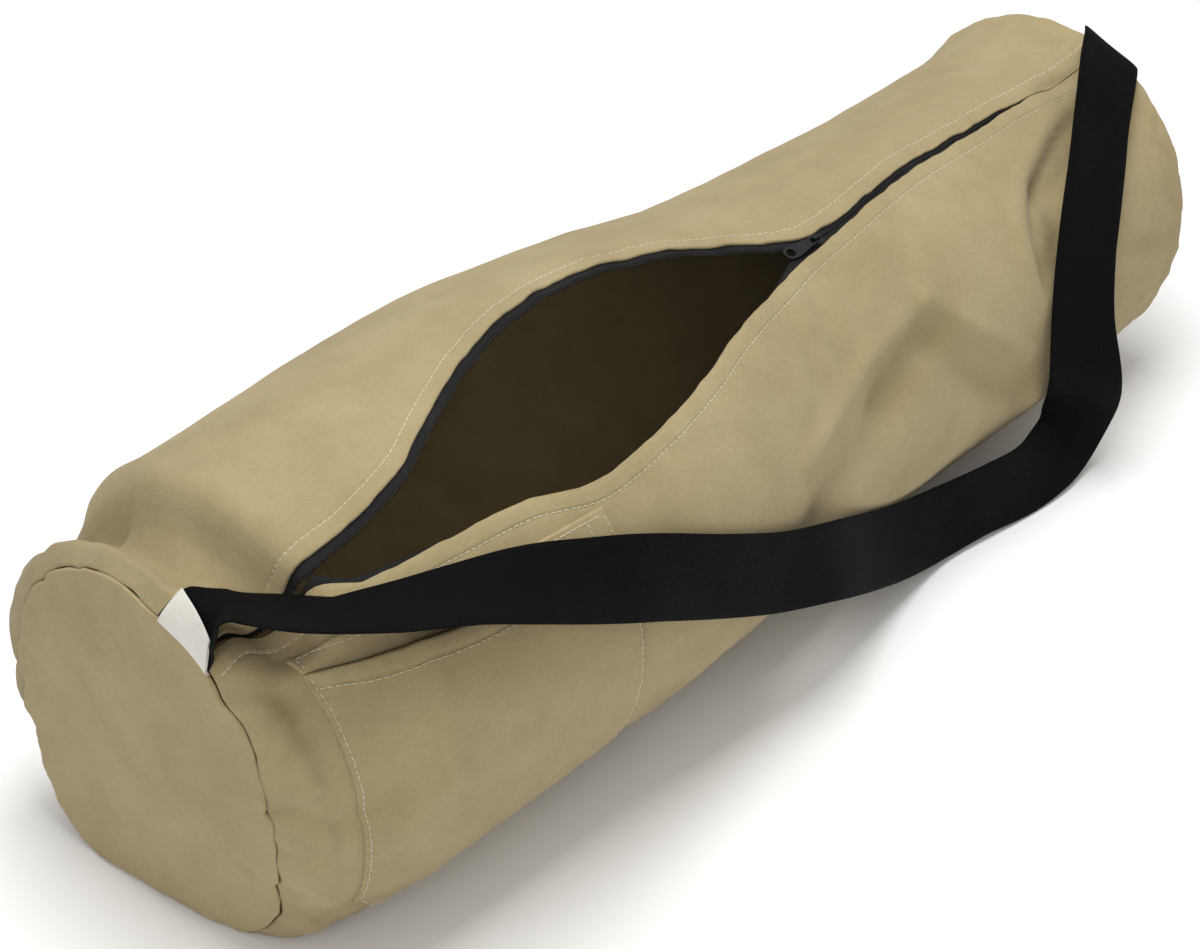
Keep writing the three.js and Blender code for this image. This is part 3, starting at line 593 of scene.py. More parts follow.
class Nodes:
    """A small helper that adds shader nodes and joins them."""

    def __init__(self, material: bpy.types.Material) -> None:
        """Takes over a material's node tree.

        Args:
            material: The material whose nodes are built.
        """
        material.use_nodes = True
        self.tree = material.node_tree
        self.shader = self.tree.nodes["Principled BSDF"]
        self.output = self.tree.nodes["Material Output"]

    def add(self, kind: str, **settings: object) -> bpy.types.Node:
        """Adds a node and sets its properties.

        Args:
            kind: The node's type.
            **settings: Its properties.

        Returns:
            The node.
        """
        node = self.tree.nodes.new(kind)
        for key, value in settings.items():
            setattr(node, key, value)
        return node

    def join(self, source: bpy.types.NodeSocket, target: bpy.types.NodeSocket) -> None:
        """Links an output to an input."""
        self.tree.links.new(source, target)

    def value(self, node: bpy.types.Node, name: str, value: object) -> bpy.types.Node:
        """Sets the default of a node's input, and returns the node."""
        node.inputs[name].default_value = value
        return node

    def math(self, operation: str, a: object, b: object = 0.0) -> bpy.types.NodeSocket:
        """A Math node of two values or outputs.

        Args:
            operation: The node's operation.
            a: An output or a number.
            b: An output or a number.

        Returns:
            The node's output.
        """
        node = self.add("ShaderNodeMath", operation=operation)
        for k, given in enumerate((a, b)):
            if isinstance(given, bpy.types.NodeSocket):
                self.join(given, node.inputs[k])
            else:
                node.inputs[k].default_value = float(given)
        return node.outputs[0]

    def noise(
        self, where: bpy.types.NodeSocket, scale: float, detail: float, rough: float = 0.5
    ) -> bpy.types.NodeSocket:
        """A noise texture's value at a place.

        Args:
            where: The place.
            scale: The texture's scale.
            detail: Its detail.
            rough: Its roughness.

        Returns:
            The value's socket.
        """
        node = self.add("ShaderNodeTexNoise")
        self.join(where, node.inputs["Vector"])
        for name, value in (("Scale", scale), ("Detail", detail), ("Roughness", rough)):
            self.value(node, name, value)
        return node.outputs[0]

    def ramp(self, source: bpy.types.NodeSocket, stops: list[tuple[float, tuple]]) -> bpy.types.NodeSocket:
        """A colour ramp with the given stops.

        Args:
            source: The value that it reads.
            stops: Places with their colours.

        Returns:
            The colour's socket.
        """
        node = self.add("ShaderNodeValToRGB")
        ramp = node.color_ramp
        while len(ramp.elements) < len(stops):
            ramp.elements.new(0.5)
        for element, (at, colour) in zip(ramp.elements, stops):
            element.position = at
            element.color = (*colour, 1)
        self.join(source, node.inputs[0])
        return node.outputs[0]

    def bump(self, height: bpy.types.NodeSocket, strength: float, distance: float) -> None:
        """Adds a bump in front of the shader's normal, over any bump that is there.

        Args:
            height: The height's socket.
            strength: The bump's strength.
            distance: Its height in metres.
        """
        node = self.add("ShaderNodeBump")
        self.value(node, "Strength", strength)
        self.value(node, "Distance", distance)
        self.join(height, node.inputs["Height"])
        links = self.shader.inputs["Normal"].links
        if links:
            self.join(links[0].from_socket, node.inputs["Normal"])
        self.join(node.outputs[0], self.shader.inputs["Normal"])


@dataclass(frozen=True)
class ClothFinish:
    """A woven cloth.

    Attributes:
        name: The material's name.
        dark: The colour in its deepest thread shadows and stains.
        middle: The usual colour.
        light: The colour where it is rubbed or bleached.
        thread: The distance between two threads, in metres.
        weave: How the threads cross.
        depth: The height of the threads, in metres.
        blotch: How much of the colour varies over large patches, 0 to 1.
        rumple: The height of the soft rumples, in metres.
        sheen: The weight of the soft sheen.
        roughness: The roughness of the threads.
        specular: How much light the threads mirror.
    """

    name: str
    dark: tuple[float, float, float]
    middle: tuple[float, float, float]
    light: tuple[float, float, float]
    thread: float
    weave: Weave
    depth: float
    blotch: float = 0.5
    rumple: float = 0.0
    sheen: float = 0.12
    roughness: float = 0.9
    specular: float = 0.22

    def make(self) -> bpy.types.Material:
        """Builds the material.

        Returns:
            The new material, with its colour, weave and slubs in nodes.
        """
        material = bpy.data.materials.new(self.name)
        n = Nodes(material)
        uv = n.add("ShaderNodeUVMap", uv_map="cloth").outputs[0]
        place = n.add("ShaderNodeTexCoord").outputs["Object"]
        apart = n.add("ShaderNodeSeparateXYZ")
        n.join(uv, apart.inputs[0])
        wander = n.noise(uv, 90.0, 2.0)
        shift = n.math("MULTIPLY", n.math("SUBTRACT", wander, 0.5), self.thread * 1.6)
        across = n.math("ADD", apart.outputs[0], shift)
        down = n.math("ADD", apart.outputs[1], shift)
        rate = 2 * math.pi / self.thread
        if self.weave is Weave.PLAIN:
            first = n.math("SINE", n.math("MULTIPLY", across, rate))
            second = n.math("SINE", n.math("MULTIPLY", down, rate))
            threads = n.math("MULTIPLY", first, second)
        else:
            slant = n.math("ADD", across, n.math("MULTIPLY", down, 0.62))
            ribs = n.math("SINE", n.math("MULTIPLY", slant, rate))
            picks = n.math("SINE", n.math("MULTIPLY", down, rate * 1.5))
            threads = n.math("ADD", n.math("MULTIPLY", ribs, 0.7), n.math("MULTIPLY", picks, 0.3))
        slub = n.add("ShaderNodeMapping")
        n.join(uv, slub.inputs["Vector"])
        slub.inputs["Scale"].default_value = (1.0, 6.0, 1.0)
        slubs = n.noise(slub.outputs[0], 160.0, 3.0, 0.6)
        grain = n.noise(place, 1400.0, 2.0, 0.6)
        patches = n.noise(place, 9.0, 4.0, 0.55)
        worn = n.noise(place, 38.0, 5.0, 0.6)
        tone = n.math("ADD", n.math("MULTIPLY", patches, self.blotch), n.math("MULTIPLY", worn, 0.30))
        tone = n.math("ADD", tone, n.math("MULTIPLY", slubs, 0.26))
        tone = n.math("ADD", tone, n.math("MULTIPLY", grain, 0.34))
        # The weave shifts the colour a little: painted shade between the threads and painted light on their
        # crowns.
        tone = n.math("ADD", tone, n.math("MULTIPLY", threads, 0.05))
        middle = (self.blotch + 0.9) / 2
        stops = [(middle - 0.24, self.dark), (middle, self.middle), (middle + 0.24, self.light)]
        n.join(n.ramp(tone, stops), n.shader.inputs[Socket.COLOUR.value])
        rough = n.math("ADD", n.math("MULTIPLY", worn, 0.14), self.roughness - 0.1)
        n.join(rough, n.shader.inputs[Socket.ROUGHNESS.value])
        n.value(n.shader, Socket.SHEEN.value, self.sheen)
        n.value(n.shader, Socket.SHEEN_ROUGHNESS.value, 0.55)
        n.value(n.shader, Socket.SPECULAR.value, self.specular)
        if self.rumple:
            pulled = n.add("ShaderNodeMapping")
            n.join(place, pulled.inputs["Vector"])
            pulled.inputs["Scale"].default_value = (0.7, 1.0, 1.0)
            pulled.inputs["Rotation"].default_value = (0.3, 0.4, 0.5)
            n.bump(n.noise(pulled.outputs[0], 34.0, 3.0, 0.5), 0.5, self.rumple)
        n.bump(slubs, 0.35, 0.0004)
        n.bump(grain, 0.25, 0.0003)
        n.bump(threads, 0.6, self.depth)
        return material


@dataclass(frozen=True)
class HardFinish:
    """Enamelled metal or moulded nylon.

    Attributes:
        name: The material's name.
        colour: The usual colour.
        bare: The colour where it is rubbed.
        metal: How much of it is metal, 0 to 1.
        roughness: The usual roughness.
        coat: The weight of a clear coat.
    """

    name: str
    colour: tuple[float, float, float]
    bare: tuple[float, float, float]
    metal: float
    roughness: float
    coat: float = 0.0

    def make(self) -> bpy.types.Material:
        """Builds the material.

        Returns:
            The new material, with rubbed spots and fine scratches in nodes.
        """
        material = bpy.data.materials.new(self.name)
        n = Nodes(material)
        place = n.add("ShaderNodeTexCoord").outputs["Object"]
        rubbed = n.noise(place, 420.0, 4.0, 0.6)
        stops = [(0.0, self.colour), (0.62, self.colour), (0.8, self.bare)]
        n.join(n.ramp(rubbed, stops), n.shader.inputs[Socket.COLOUR.value])
        fine = n.noise(place, 1800.0, 2.0)
        rough = n.math("ADD", n.math("MULTIPLY", fine, 0.18), self.roughness - 0.09)
        n.join(rough, n.shader.inputs[Socket.ROUGHNESS.value])
        n.value(n.shader, Socket.METAL.value, self.metal)
        n.value(n.shader, Socket.COAT.value, self.coat)
        n.value(n.shader, Socket.COAT_ROUGHNESS.value, 0.2)
        n.bump(fine, 0.2, 0.00005)
        return material


CANVAS_CLOTH = ClothFinish(
    "khaki_canvas",
    dark=(0.296, 0.227, 0.108),
    middle=(0.390, 0.308, 0.158),
    light=(0.469, 0.383, 0.214),
    thread=0.0008,
    weave=Weave.PLAIN,
    depth=0.00022,
    rumple=0.0030,
)
FACING_CLOTH = ClothFinish(
    "khaki_facing",
    dark=(0.311, 0.242, 0.119),
    middle=(0.410, 0.327, 0.171),
    light=(0.489, 0.403, 0.228),
    thread=0.0008,
    weave=Weave.PLAIN,
    depth=0.00018,
)
WEBBING_CLOTH = ClothFinish(
    "black_webbing",
    dark=(0.0015, 0.0014, 0.0016),
    middle=(0.0022, 0.0021, 0.0022),
    light=(0.0075, 0.007, 0.0076),
    thread=0.0022,
    weave=Weave.TWILL,
    depth=0.00035,
    sheen=0.0,
    roughness=0.8,
    specular=0.075,
)
TAPE_CLOTH = ClothFinish(
    "zip_tape_cloth",
    dark=(0.007, 0.007, 0.0075),
    middle=(0.014, 0.0135, 0.0135),
    light=(0.028, 0.027, 0.027),
    thread=0.0009,
    weave=Weave.TWILL,
    depth=0.00012,
    sheen=0.0,
    roughness=0.8,
    specular=0.12,
)
LABEL_CLOTH = ClothFinish(
    "label_cloth",
    dark=(0.560, 0.530, 0.450),
    middle=(0.700, 0.675, 0.600),
    light=(0.790, 0.770, 0.710),
    thread=0.0005,
    weave=Weave.PLAIN,
    depth=0.00006,
    sheen=0.2,
    roughness=0.7,
)
THREAD_CLOTH = ClothFinish(
    "cream_thread",
    dark=(0.520, 0.450, 0.310),
    middle=(0.640, 0.570, 0.420),
    light=(0.740, 0.680, 0.530),
    thread=0.0004,
    weave=Weave.TWILL,
    depth=0.00005,
    roughness=0.8,
)
SLIDER_METAL = HardFinish("slider_enamel", (0.005, 0.005, 0.006), (0.05, 0.05, 0.055), 0.3, 0.42, 0.1)
COIL_NYLON = HardFinish("coil_nylon", (0.007, 0.007, 0.008), (0.02, 0.02, 0.023), 0.0, 0.38)


class Materials:
    """Makes each finish once and dresses objects with it."""

    def __init__(self) -> None:
        """Starts with no material made."""
        self.made: dict[str, bpy.types.Material] = {}

    def dress(self, thing: bpy.types.Object, finish: ClothFinish | HardFinish) -> bpy.types.Object:
        """Gives an object a finish in place of what it has.

        Args:
            thing: A mesh object.
            finish: The finish.

        Returns:
            The same object.
        """
        if finish.name not in self.made:
            self.made[finish.name] = finish.make()
        thing.data.materials.clear()
        thing.data.materials.append(self.made[finish.name])
        return thing


MATERIALS = Materials()


def place(thing: bpy.types.Object, body: str, slot: str, *nodes: str) -> bpy.types.Object:
    """Ties a piece to its body and hides the solids that it stands for.

    Args:
        thing: The piece.
        body: The body that it moves with.
        slot: Not used.
        nodes: The solids that it replaces.

    Returns:
        The same piece.
    """
    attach(thing, body)
    if nodes:
        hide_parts(*nodes)
    LOG.info("%s: %d faces", thing.name, len(thing.data.polygons))
    return thing


@dataclass
class StitchLine:
    """A row of stitches along a path on the cloth.

    Attributes:
        path: Points along the row, in metres.
        out: The direction out of the cloth at each point.
    """

    path: np.ndarray
    out: np.ndarray


@dataclass
class Stitches:
    """All the stitches of one sewn piece, as one mesh of short thread bows.

    Attributes:
        name: The piece's name.
        lines: The rows of stitches.
        pitch: From the start of one stitch to the start of the next.
        length: The length of thread that shows.
        radius: The thread's radius.
        sides: The number of sides of the thread.
    """

    name: str
    lines: list[StitchLine] = field(default_factory=list)
    pitch: float = 0.0041
    length: float = 0.0031
    radius: float = 0.00031
    sides: int = 6

    def add(self, path: np.ndarray, out: np.ndarray) -> None:
        """Adds a row of stitches."""
        self.lines.append(StitchLine(np.asarray(path, float), np.asarray(out, float)))

    def bows(self, line: StitchLine) -> tuple[np.ndarray, np.ndarray, np.ndarray]:
        """The places of a row's stitches.

        Args:
            line: The row.

        Returns:
            Centres by stitch and step, the directions along the row, and the directions out.
        """
        gaps = np.linalg.norm(np.diff(line.path, axis=0), axis=1)
        run = np.concatenate([[0], np.cumsum(gaps)])
        starts = np.arange(0.3 * self.pitch, run[-1] - self.length, self.pitch)
        jitter = waver(starts, 0.013, 3.1) * 0.0003
        steps = np.array([0, 0.12, 0.5, 0.88, 1])
        at = (starts + jitter)[:, None] + steps * self.length
        centres = np.stack([np.interp(at, run, line.path[:, k]) for k in range(3)], -1)
        out = unit(np.stack([np.interp(at, run, line.out[:, k]) for k in range(3)], -1))
        height = np.array([-0.9, 0.35, 0.75, 0.35, -0.9]) * self.radius
        centres = centres + out * height[:, None]
        along = unit(centres[:, -1:] - centres[:, :1]) + 0 * centres
        return centres, along, out

    def build(self, body: str, slot: str) -> bpy.types.Object:
        """Makes the mesh and ties it to its body.

        Args:
            body: The body that the cloth moves with.
            slot: The record's material slot.

        Returns:
            The new piece.
        """
        angles = np.arange(self.sides) * 2 * math.pi / self.sides
        vertices, faces = [], []
        count = 0
        for line in self.lines:
            centres, along, out = self.bows(line)
            across = unit(np.cross(along, out))
            ring = (
                across[:, :, None] * np.cos(angles)[:, None] * self.radius
                + out[:, :, None] * np.sin(angles)[:, None] * self.radius
            )
            points = centres[:, :, None] + ring
            stitches, steps = centres.shape[:2]
            vertices.append(points.reshape(-1, 3))
            base = count + np.arange(stitches)[:, None, None] * steps * self.sides
            ring_at = base + np.arange(steps - 1)[None, :, None] * self.sides
            k = np.arange(self.sides)[None, None, :]
            after = (k + 1) % self.sides
            quads = np.stack(
                [ring_at + k, ring_at + after, ring_at + self.sides + after, ring_at + self.sides + k], -1
            )
            faces.append(quads.reshape(-1, 4))
            count += stitches * steps * self.sides
        points = np.concatenate(vertices)
        uv = points[:, :2].copy()
        thing = mesh_object(self.name, points, np.concatenate(faces), uv)
        MATERIALS.dress(thing, THREAD_CLOTH)
        return place(thing, body, slot)


@dataclass(frozen=True)
class WrapCloth:
    """The dressed outer face of the wrap: skin, folds, hems at the lips and rolls at the seams.

    Attributes:
        hem: From a lip to its hem's stitches.
        roll_start: How far inside a seam the rolled edge begins.
        roll_start_flared: The same where the wrap flares out from the seam.
    """

    hem: float = 0.0095
    roll_start: float = 0.0014
    roll_start_flared: float = 0.0003

    def lip_distance(self, along: np.ndarray, turn: np.ndarray) -> tuple[np.ndarray, np.ndarray]:
        """How far places are from the front and the back lip, along the cloth.

        Args:
            along: Shares of the bag's length.
            turn: Degrees from the top, front lip first and back lip past 300.

        Returns:
            The distances to the front lip and to the back lip, in metres.
        """
        per_degree = np.radians(monotone(SECTIONS, "wide", along) * END_RADIUS)
        front = (turn - WRAP.lip(along, "front")) * per_degree
        back = (WRAP.lip(along, "back") + 360 - turn) * per_degree
        return front, back

    def trim(self, along: np.ndarray, turn: np.ndarray, skin: np.ndarray) -> np.ndarray:
        """The height of the fine relief over the skin.

        Args:
            along: Shares of the bag's length.
            turn: Degrees from the top.
            skin: The skin's points there.

        Returns:
            Heights in metres.
        """
        run = along * BAG_LENGTH
        front, back = self.lip_distance(along, turn)
        edge = np.minimum(front, back)
        height = 0.0005 * (1 - smooth(edge, self.hem - 0.0014, self.hem + 0.0012))
        height -= 0.00055 * np.exp(-(((edge - self.hem) / 0.0009) ** 2))
        height -= 0.0006 * (1 - smooth(edge, 0, 0.0014)) ** 2
        seed = np.where(front < back, 0.4, 2.9)
        pucker = np.sin(2 * math.pi * run / 0.0092 + 2.2 * waver(run, 0.05, 1.7) + seed)
        height += 0.00026 * pucker * np.exp(-(((edge - self.hem) / 0.0048) ** 2))
        height += 0.0007 * waver(run + 0.02 * seed, 0.047, 4.2) * np.exp(-((edge / 0.012) ** 2))
        ends = np.minimum(run, BAG_LENGTH - run)
        arc = np.radians(turn) * END_RADIUS
        height += 0.0012 * np.exp(-(((ends - 0.006) / 0.005) ** 2))
        gathers = waver(arc + 0.1 * along, 0.027, 2.6) + 0.7 * waver(arc, 0.051, 5.5)
        height += 0.0007 * gathers * np.exp(-ends / 0.012)
        height += 0.0011 * cloth_noise(skin * (0.6, 1, 1), 0.060, 3.3)
        height += 0.00042 * cloth_noise(skin, 0.021, 8.1)
        return height * (0.15 + 0.85 * smooth(skin[..., 2], 0.001, 0.012))

    def face(self, along: np.ndarray, turn: np.ndarray, depth: float = 0.0) -> np.ndarray:
        """Points of the dressed wrap at a depth under its outer face.

        Args:
            along: Shares of the bag's length.
            turn: Degrees from the top.
            depth: The depth in metres, negative above the cloth.

        Returns:
            The points in metres.
        """
        asked, turn = np.broadcast_arrays(np.asarray(along, float), np.asarray(turn, float))
        flare = seam_share(turn, asked)
        start = (self.roll_start + (self.roll_start_flared - self.roll_start) * flare) / BAG_LENGTH
        shift = np.where(asked < 0.02, start - self.roll_start / BAG_LENGTH, 0)
        asked = asked + shift * (1 - smooth(asked, 0.004, 0.02))
        along = np.clip(asked, start, 1 - start)
        skin = WRAP.skin(along, turn, True)
        out = WRAP.outward(along, turn, True)
        past = np.abs(asked - along) * BAG_LENGTH / SEAM_ROLL
        end = np.sign(asked - along)
        points = skin + out * (self.trim(along, turn, skin) - depth)[..., None]
        radius = np.maximum(SEAM_ROLL - depth, 0.0002)
        inside = WRAP.skin(np.where(asked > 0.5, along - 0.004, along + 0.004), turn, True)
        run = np.where((end == 0)[..., None], 0, unit(skin - inside))
        points += -out * (radius * (1 - np.cos(past)))[..., None]
        points += run * (radius * np.sin(past))[..., None]
        points[..., 2] = np.maximum(points[..., 2], max(depth, 0))
        return points


CLOTH = WrapCloth()


def wavy_lip(along: np.ndarray, side: str) -> np.ndarray:
    """A lip's place with the small waves of its sewn edge.

    Args:
        along: Shares of the bag's length.
        side: "front" or "back".

    Returns:
        Degrees from the top.
    """
    seed = 1.3 if side == "front" else 4.4
    sign = 1 if side == "front" else -1
    slot = WRAP.lip(along, "front") - WRAP.lip(along, "back")
    width = np.radians(slot) * END_RADIUS
    swing = np.minimum(0.0009, width * 0.16) * waver(along * BAG_LENGTH, 0.034, seed)
    swing = swing * smooth(along, 0.01, 0.05) * (1 - smooth(along, 0.95, 0.99))
    closer = smooth(along, SLIDER_AT + 0.012, SLIDER_AT + 0.05) * (0.12 + 0.32 * smooth(along, 0.86, 0.95))
    hangs = 0.0011 * (1 - smooth(along, SLIDER_AT - 0.05, SLIDER_AT - 0.02)) if side == "front" else 0.0
    ragged = 0.00036 * waver(along * BAG_LENGTH, 0.024, seed + 2) * smooth(along, SLIDER_AT + 0.01, 0.72)
    shift = swing * 0.4 - width * closer + ragged * (1 - smooth(along, 0.9, 0.96)) - hangs
    return WRAP.lip(along, side) + sign * WRAP.degrees(along, shift)


def even_places(step: float) -> np.ndarray:
    """Places along the bag for the rows of fine meshes, closer near both seams.

    Args:
        step: The usual distance between two rows, in metres.

    Returns:
        Shares of the bag's length, from 0 to 1.
    """
    roll = WrapCloth.roll_start - SEAM_ROLL * np.radians(np.linspace(135, 0, 8))
    close = np.concatenate([roll, [0.0028, 0.0042, 0.006, 0.008, 0.010, 0.0125]]) / BAG_LENGTH
    count = int(round((BAG_LENGTH * (1 - 2 * close[-1])) / step))
    middle = np.linspace(close[-1], 1 - close[-1], count + 1)
    return np.concatenate([close[:-1], middle, (1 - close[:-1])[::-1]])


@dataclass
class WrapPanel:
    """The large panel that makes the bag's round wall.

    Attributes:
        row_step: The distance between two rows of the mesh.
        columns: The number of columns between the two hems.
        near_lip: Distances from a lip where the mesh has a column.
    """

    row_step: float = 0.0034
    columns: int = 160
    near_lip: tuple[float, ...] = (
        0, 0.0006, 0.0014, 0.003, 0.005, 0.0068, 0.0082, 0.0089, 0.0095,
        0.0101, 0.0109, 0.0122, 0.0145, 0.018, 0.022,
    )

    def turns(self, along: np.ndarray) -> np.ndarray:
        """The columns' turns, one row for each place along the bag.

        Args:
            along: Shares of the bag's length.

        Returns:
            Degrees from the top.
        """
        front, back = wavy_lip(along, "front"), wavy_lip(along, "back") + 360
        steps = np.stack([WRAP.degrees(along, mm) for mm in self.near_lip], -1)
        start, end = front[:, None] + steps, back[:, None] - steps[:, ::-1]
        share = np.linspace(0, 1, self.columns + 2)[1:-1]
        middle = start[:, -1:] + (end[:, :1] - start[:, -1:]) * share
        return np.concatenate([start, middle, end], 1)

    def build(self) -> bpy.types.Object:
        """Makes the panel and dresses it.

        Returns:
            The new piece.
        """
        rows = even_places(self.row_step)
        turns = self.turns(rows)
        along = np.broadcast_to(rows[:, None], turns.shape)
        per_degree = np.radians(monotone(SECTIONS, "wide", along) * END_RADIUS)
        cloth = np.stack([along * BAG_LENGTH, turns * per_degree], -1)
        top = Grid(CLOTH.face(along, turns), cloth)
        bottom = Grid(CLOTH.face(along, turns, CANVAS), cloth)
        thing = cloth_object("wrap_cloth", top, bottom)
        MATERIALS.dress(thing, CANVAS_CLOTH)
        return place(thing, "bag", "canvas", "body_panel")

    def lip_stitches(self, side: str, inset: float) -> tuple[np.ndarray, np.ndarray]:
        """A row of stitches beside a lip.

        Args:
            side: "front" or "back".
            inset: The distance from the lip.

        Returns:
            The row's points and the directions out of the cloth.
        """
        along = np.linspace(0.004, 0.996, 700)
        sign = 1 if side == "front" else -1
        whole = 0 if side == "front" else 360
        turn = WRAP.lip(along, side) + whole + sign * WRAP.degrees(along, inset)
        return CLOTH.face(along, turn), WRAP.outward(along, turn, True)


@dataclass
class EndDisc:
    """A round end of the bag.

    Attributes:
        end: 0 at the near seam, 1 at the far seam.
        ridges: Soft ridges, from and to as shares of the radius, with width and height.
        rings: The number of rings of the mesh.
        spokes: The number of spokes of the mesh.
        flat_from: How far inside the seam the rolled rim begins.
        flat_from_flared: The same where the wrap flares out from the seam.
    """

    end: int
    ridges: tuple[tuple[float, ...], ...]
    rings: int = 60
    spokes: int = 220
    flat_from: float = 0.0032
    flat_from_flared: float = 0.0020

    def centre(self) -> np.ndarray:
        """The middle of the seam's ring.

        Returns:
            The point in metres.
        """
        at = np.array([float(self.end)])
        names = ("tall", "press", "sway")
        tall, press, sway = (monotone(SECTIONS, name, at)[0] * END_RADIUS for name in names)
        return np.array([(self.end - 0.5) * BAG_LENGTH, sway, tall - press])

    def face(self, share: np.ndarray, turn: np.ndarray, offset: float) -> np.ndarray:
        """Points of the disc.

        Args:
            share: Shares of the way from the middle to the seam.
            turn: Degrees from the top.
            offset: The height over the disc's inner face.

        Returns:
            The points in metres.
        """
        way = -1 if self.end == 0 else 1
        centre = self.centre()
        rim = WRAP.skin(np.full_like(turn, float(self.end)), turn, True)
        radius = np.linalg.norm((rim - centre)[..., 1:], axis=-1)
        flare = seam_share(turn, self.end)
        start = self.flat_from + (self.flat_from_flared - self.flat_from) * flare
        asked = (1 - share) * radius + (start - self.flat_from) * (1 - smooth(1 - share, 0.04, 0.1))
        rolled = np.clip((start - asked) / SEAM_ROLL, 0, math.radians(135))
        kept = np.where(rolled > 0, 1 - start / radius, 1 - asked / radius)
        points = centre + (rim - centre) * kept[..., None]
        points[..., 0] = centre[0] + (rim[..., 0] - centre[0]) * kept**2
        share = kept
        across = (points[..., 1] - centre[1]) / END_RADIUS
        up = (points[..., 2] - centre[2]) / END_RADIUS
        bulge = 0.03 * (1 - share**2)
        for x0, y0, x1, y1, wide, rise in self.ridges:
            far = from_run(across, up, np.array([x0, y0]), np.array([x1, y1])) / wide
            bulge = bulge + rise * np.exp(-(far**2)) * (1 - share**4)
        inset = (1 - share) * radius
        arc = np.radians(turn) * END_RADIUS
        soft = 0.0007 * cloth_noise(points, 0.050, 6.2 + self.end)
        soft = soft + 0.00025 * cloth_noise(points, 0.016, 2.7)
        pucker = waver(arc, 0.034, 1.1 + self.end) * 0.0006 * np.exp(-inset / 0.014)
        bend = SEAM_ROLL if offset > 0 else 0.0002
        height = bulge * END_RADIUS + GAP + offset + soft + pucker - bend * (1 - np.cos(rolled))
        points[..., 0] += way * height
        outward = (points - centre) * (0, 1, 1)
        points += unit(outward) * (bend * np.sin(rolled))[..., None]
        points[..., 2] = np.maximum(points[..., 2], 0.0002)
        return points

    def build(self, name: str, node: str) -> bpy.types.Object:
        """Makes the disc and dresses it.

        Args:
            name: The piece's name.
            node: The solid that it replaces.

        Returns:
            The new piece.
        """
        roll = self.flat_from - SEAM_ROLL * np.radians(np.linspace(0, 135, 8))
        near = 1 - np.concatenate([[0.009, 0.0075, 0.006, 0.0048], roll]) / END_RADIUS
        shares = np.concatenate([np.linspace(0.006, near[0], self.rings - len(near) + 1)[:-1], near])
        angles = np.arange(self.spokes) * 360 / self.spokes
        share, turn = np.meshgrid(shares, angles, indexing="ij")
        vertices, uv, faces = [], [], []
        for side, offset in enumerate((CANVAS, 0.0)):
            points = self.face(share, turn, offset)
            vertices.append(points.reshape(-1, 3))
            uv.append(points[..., 1:].reshape(-1, 2))
            i, j = np.meshgrid(np.arange(self.rings - 1), np.arange(self.spokes), indexing="ij")
            base = side * self.rings * self.spokes
            a, b = base + i * self.spokes + j, base + i * self.spokes + (j + 1) % self.spokes
            quads = np.stack([a, a + self.spokes, b + self.spokes, b], -1).reshape(-1, 4)
            faces += (quads if side == 0 else quads[:, ::-1]).tolist()
            ring = (base + np.arange(self.spokes)).tolist()
            faces.append(ring if side == 0 else ring[::-1])
        last = (self.rings - 1) * self.spokes + np.arange(self.spokes)
        after = np.roll(last, -1)
        other = self.rings * self.spokes
        faces += np.stack([last, last + other, after + other, after], -1).tolist()
        thing = mesh_object(name, np.concatenate(vertices), faces, np.concatenate(uv))
        outward_faces(thing)
        MATERIALS.dress(thing, CANVAS_CLOTH)
        return place(thing, "bag", "canvas", node)


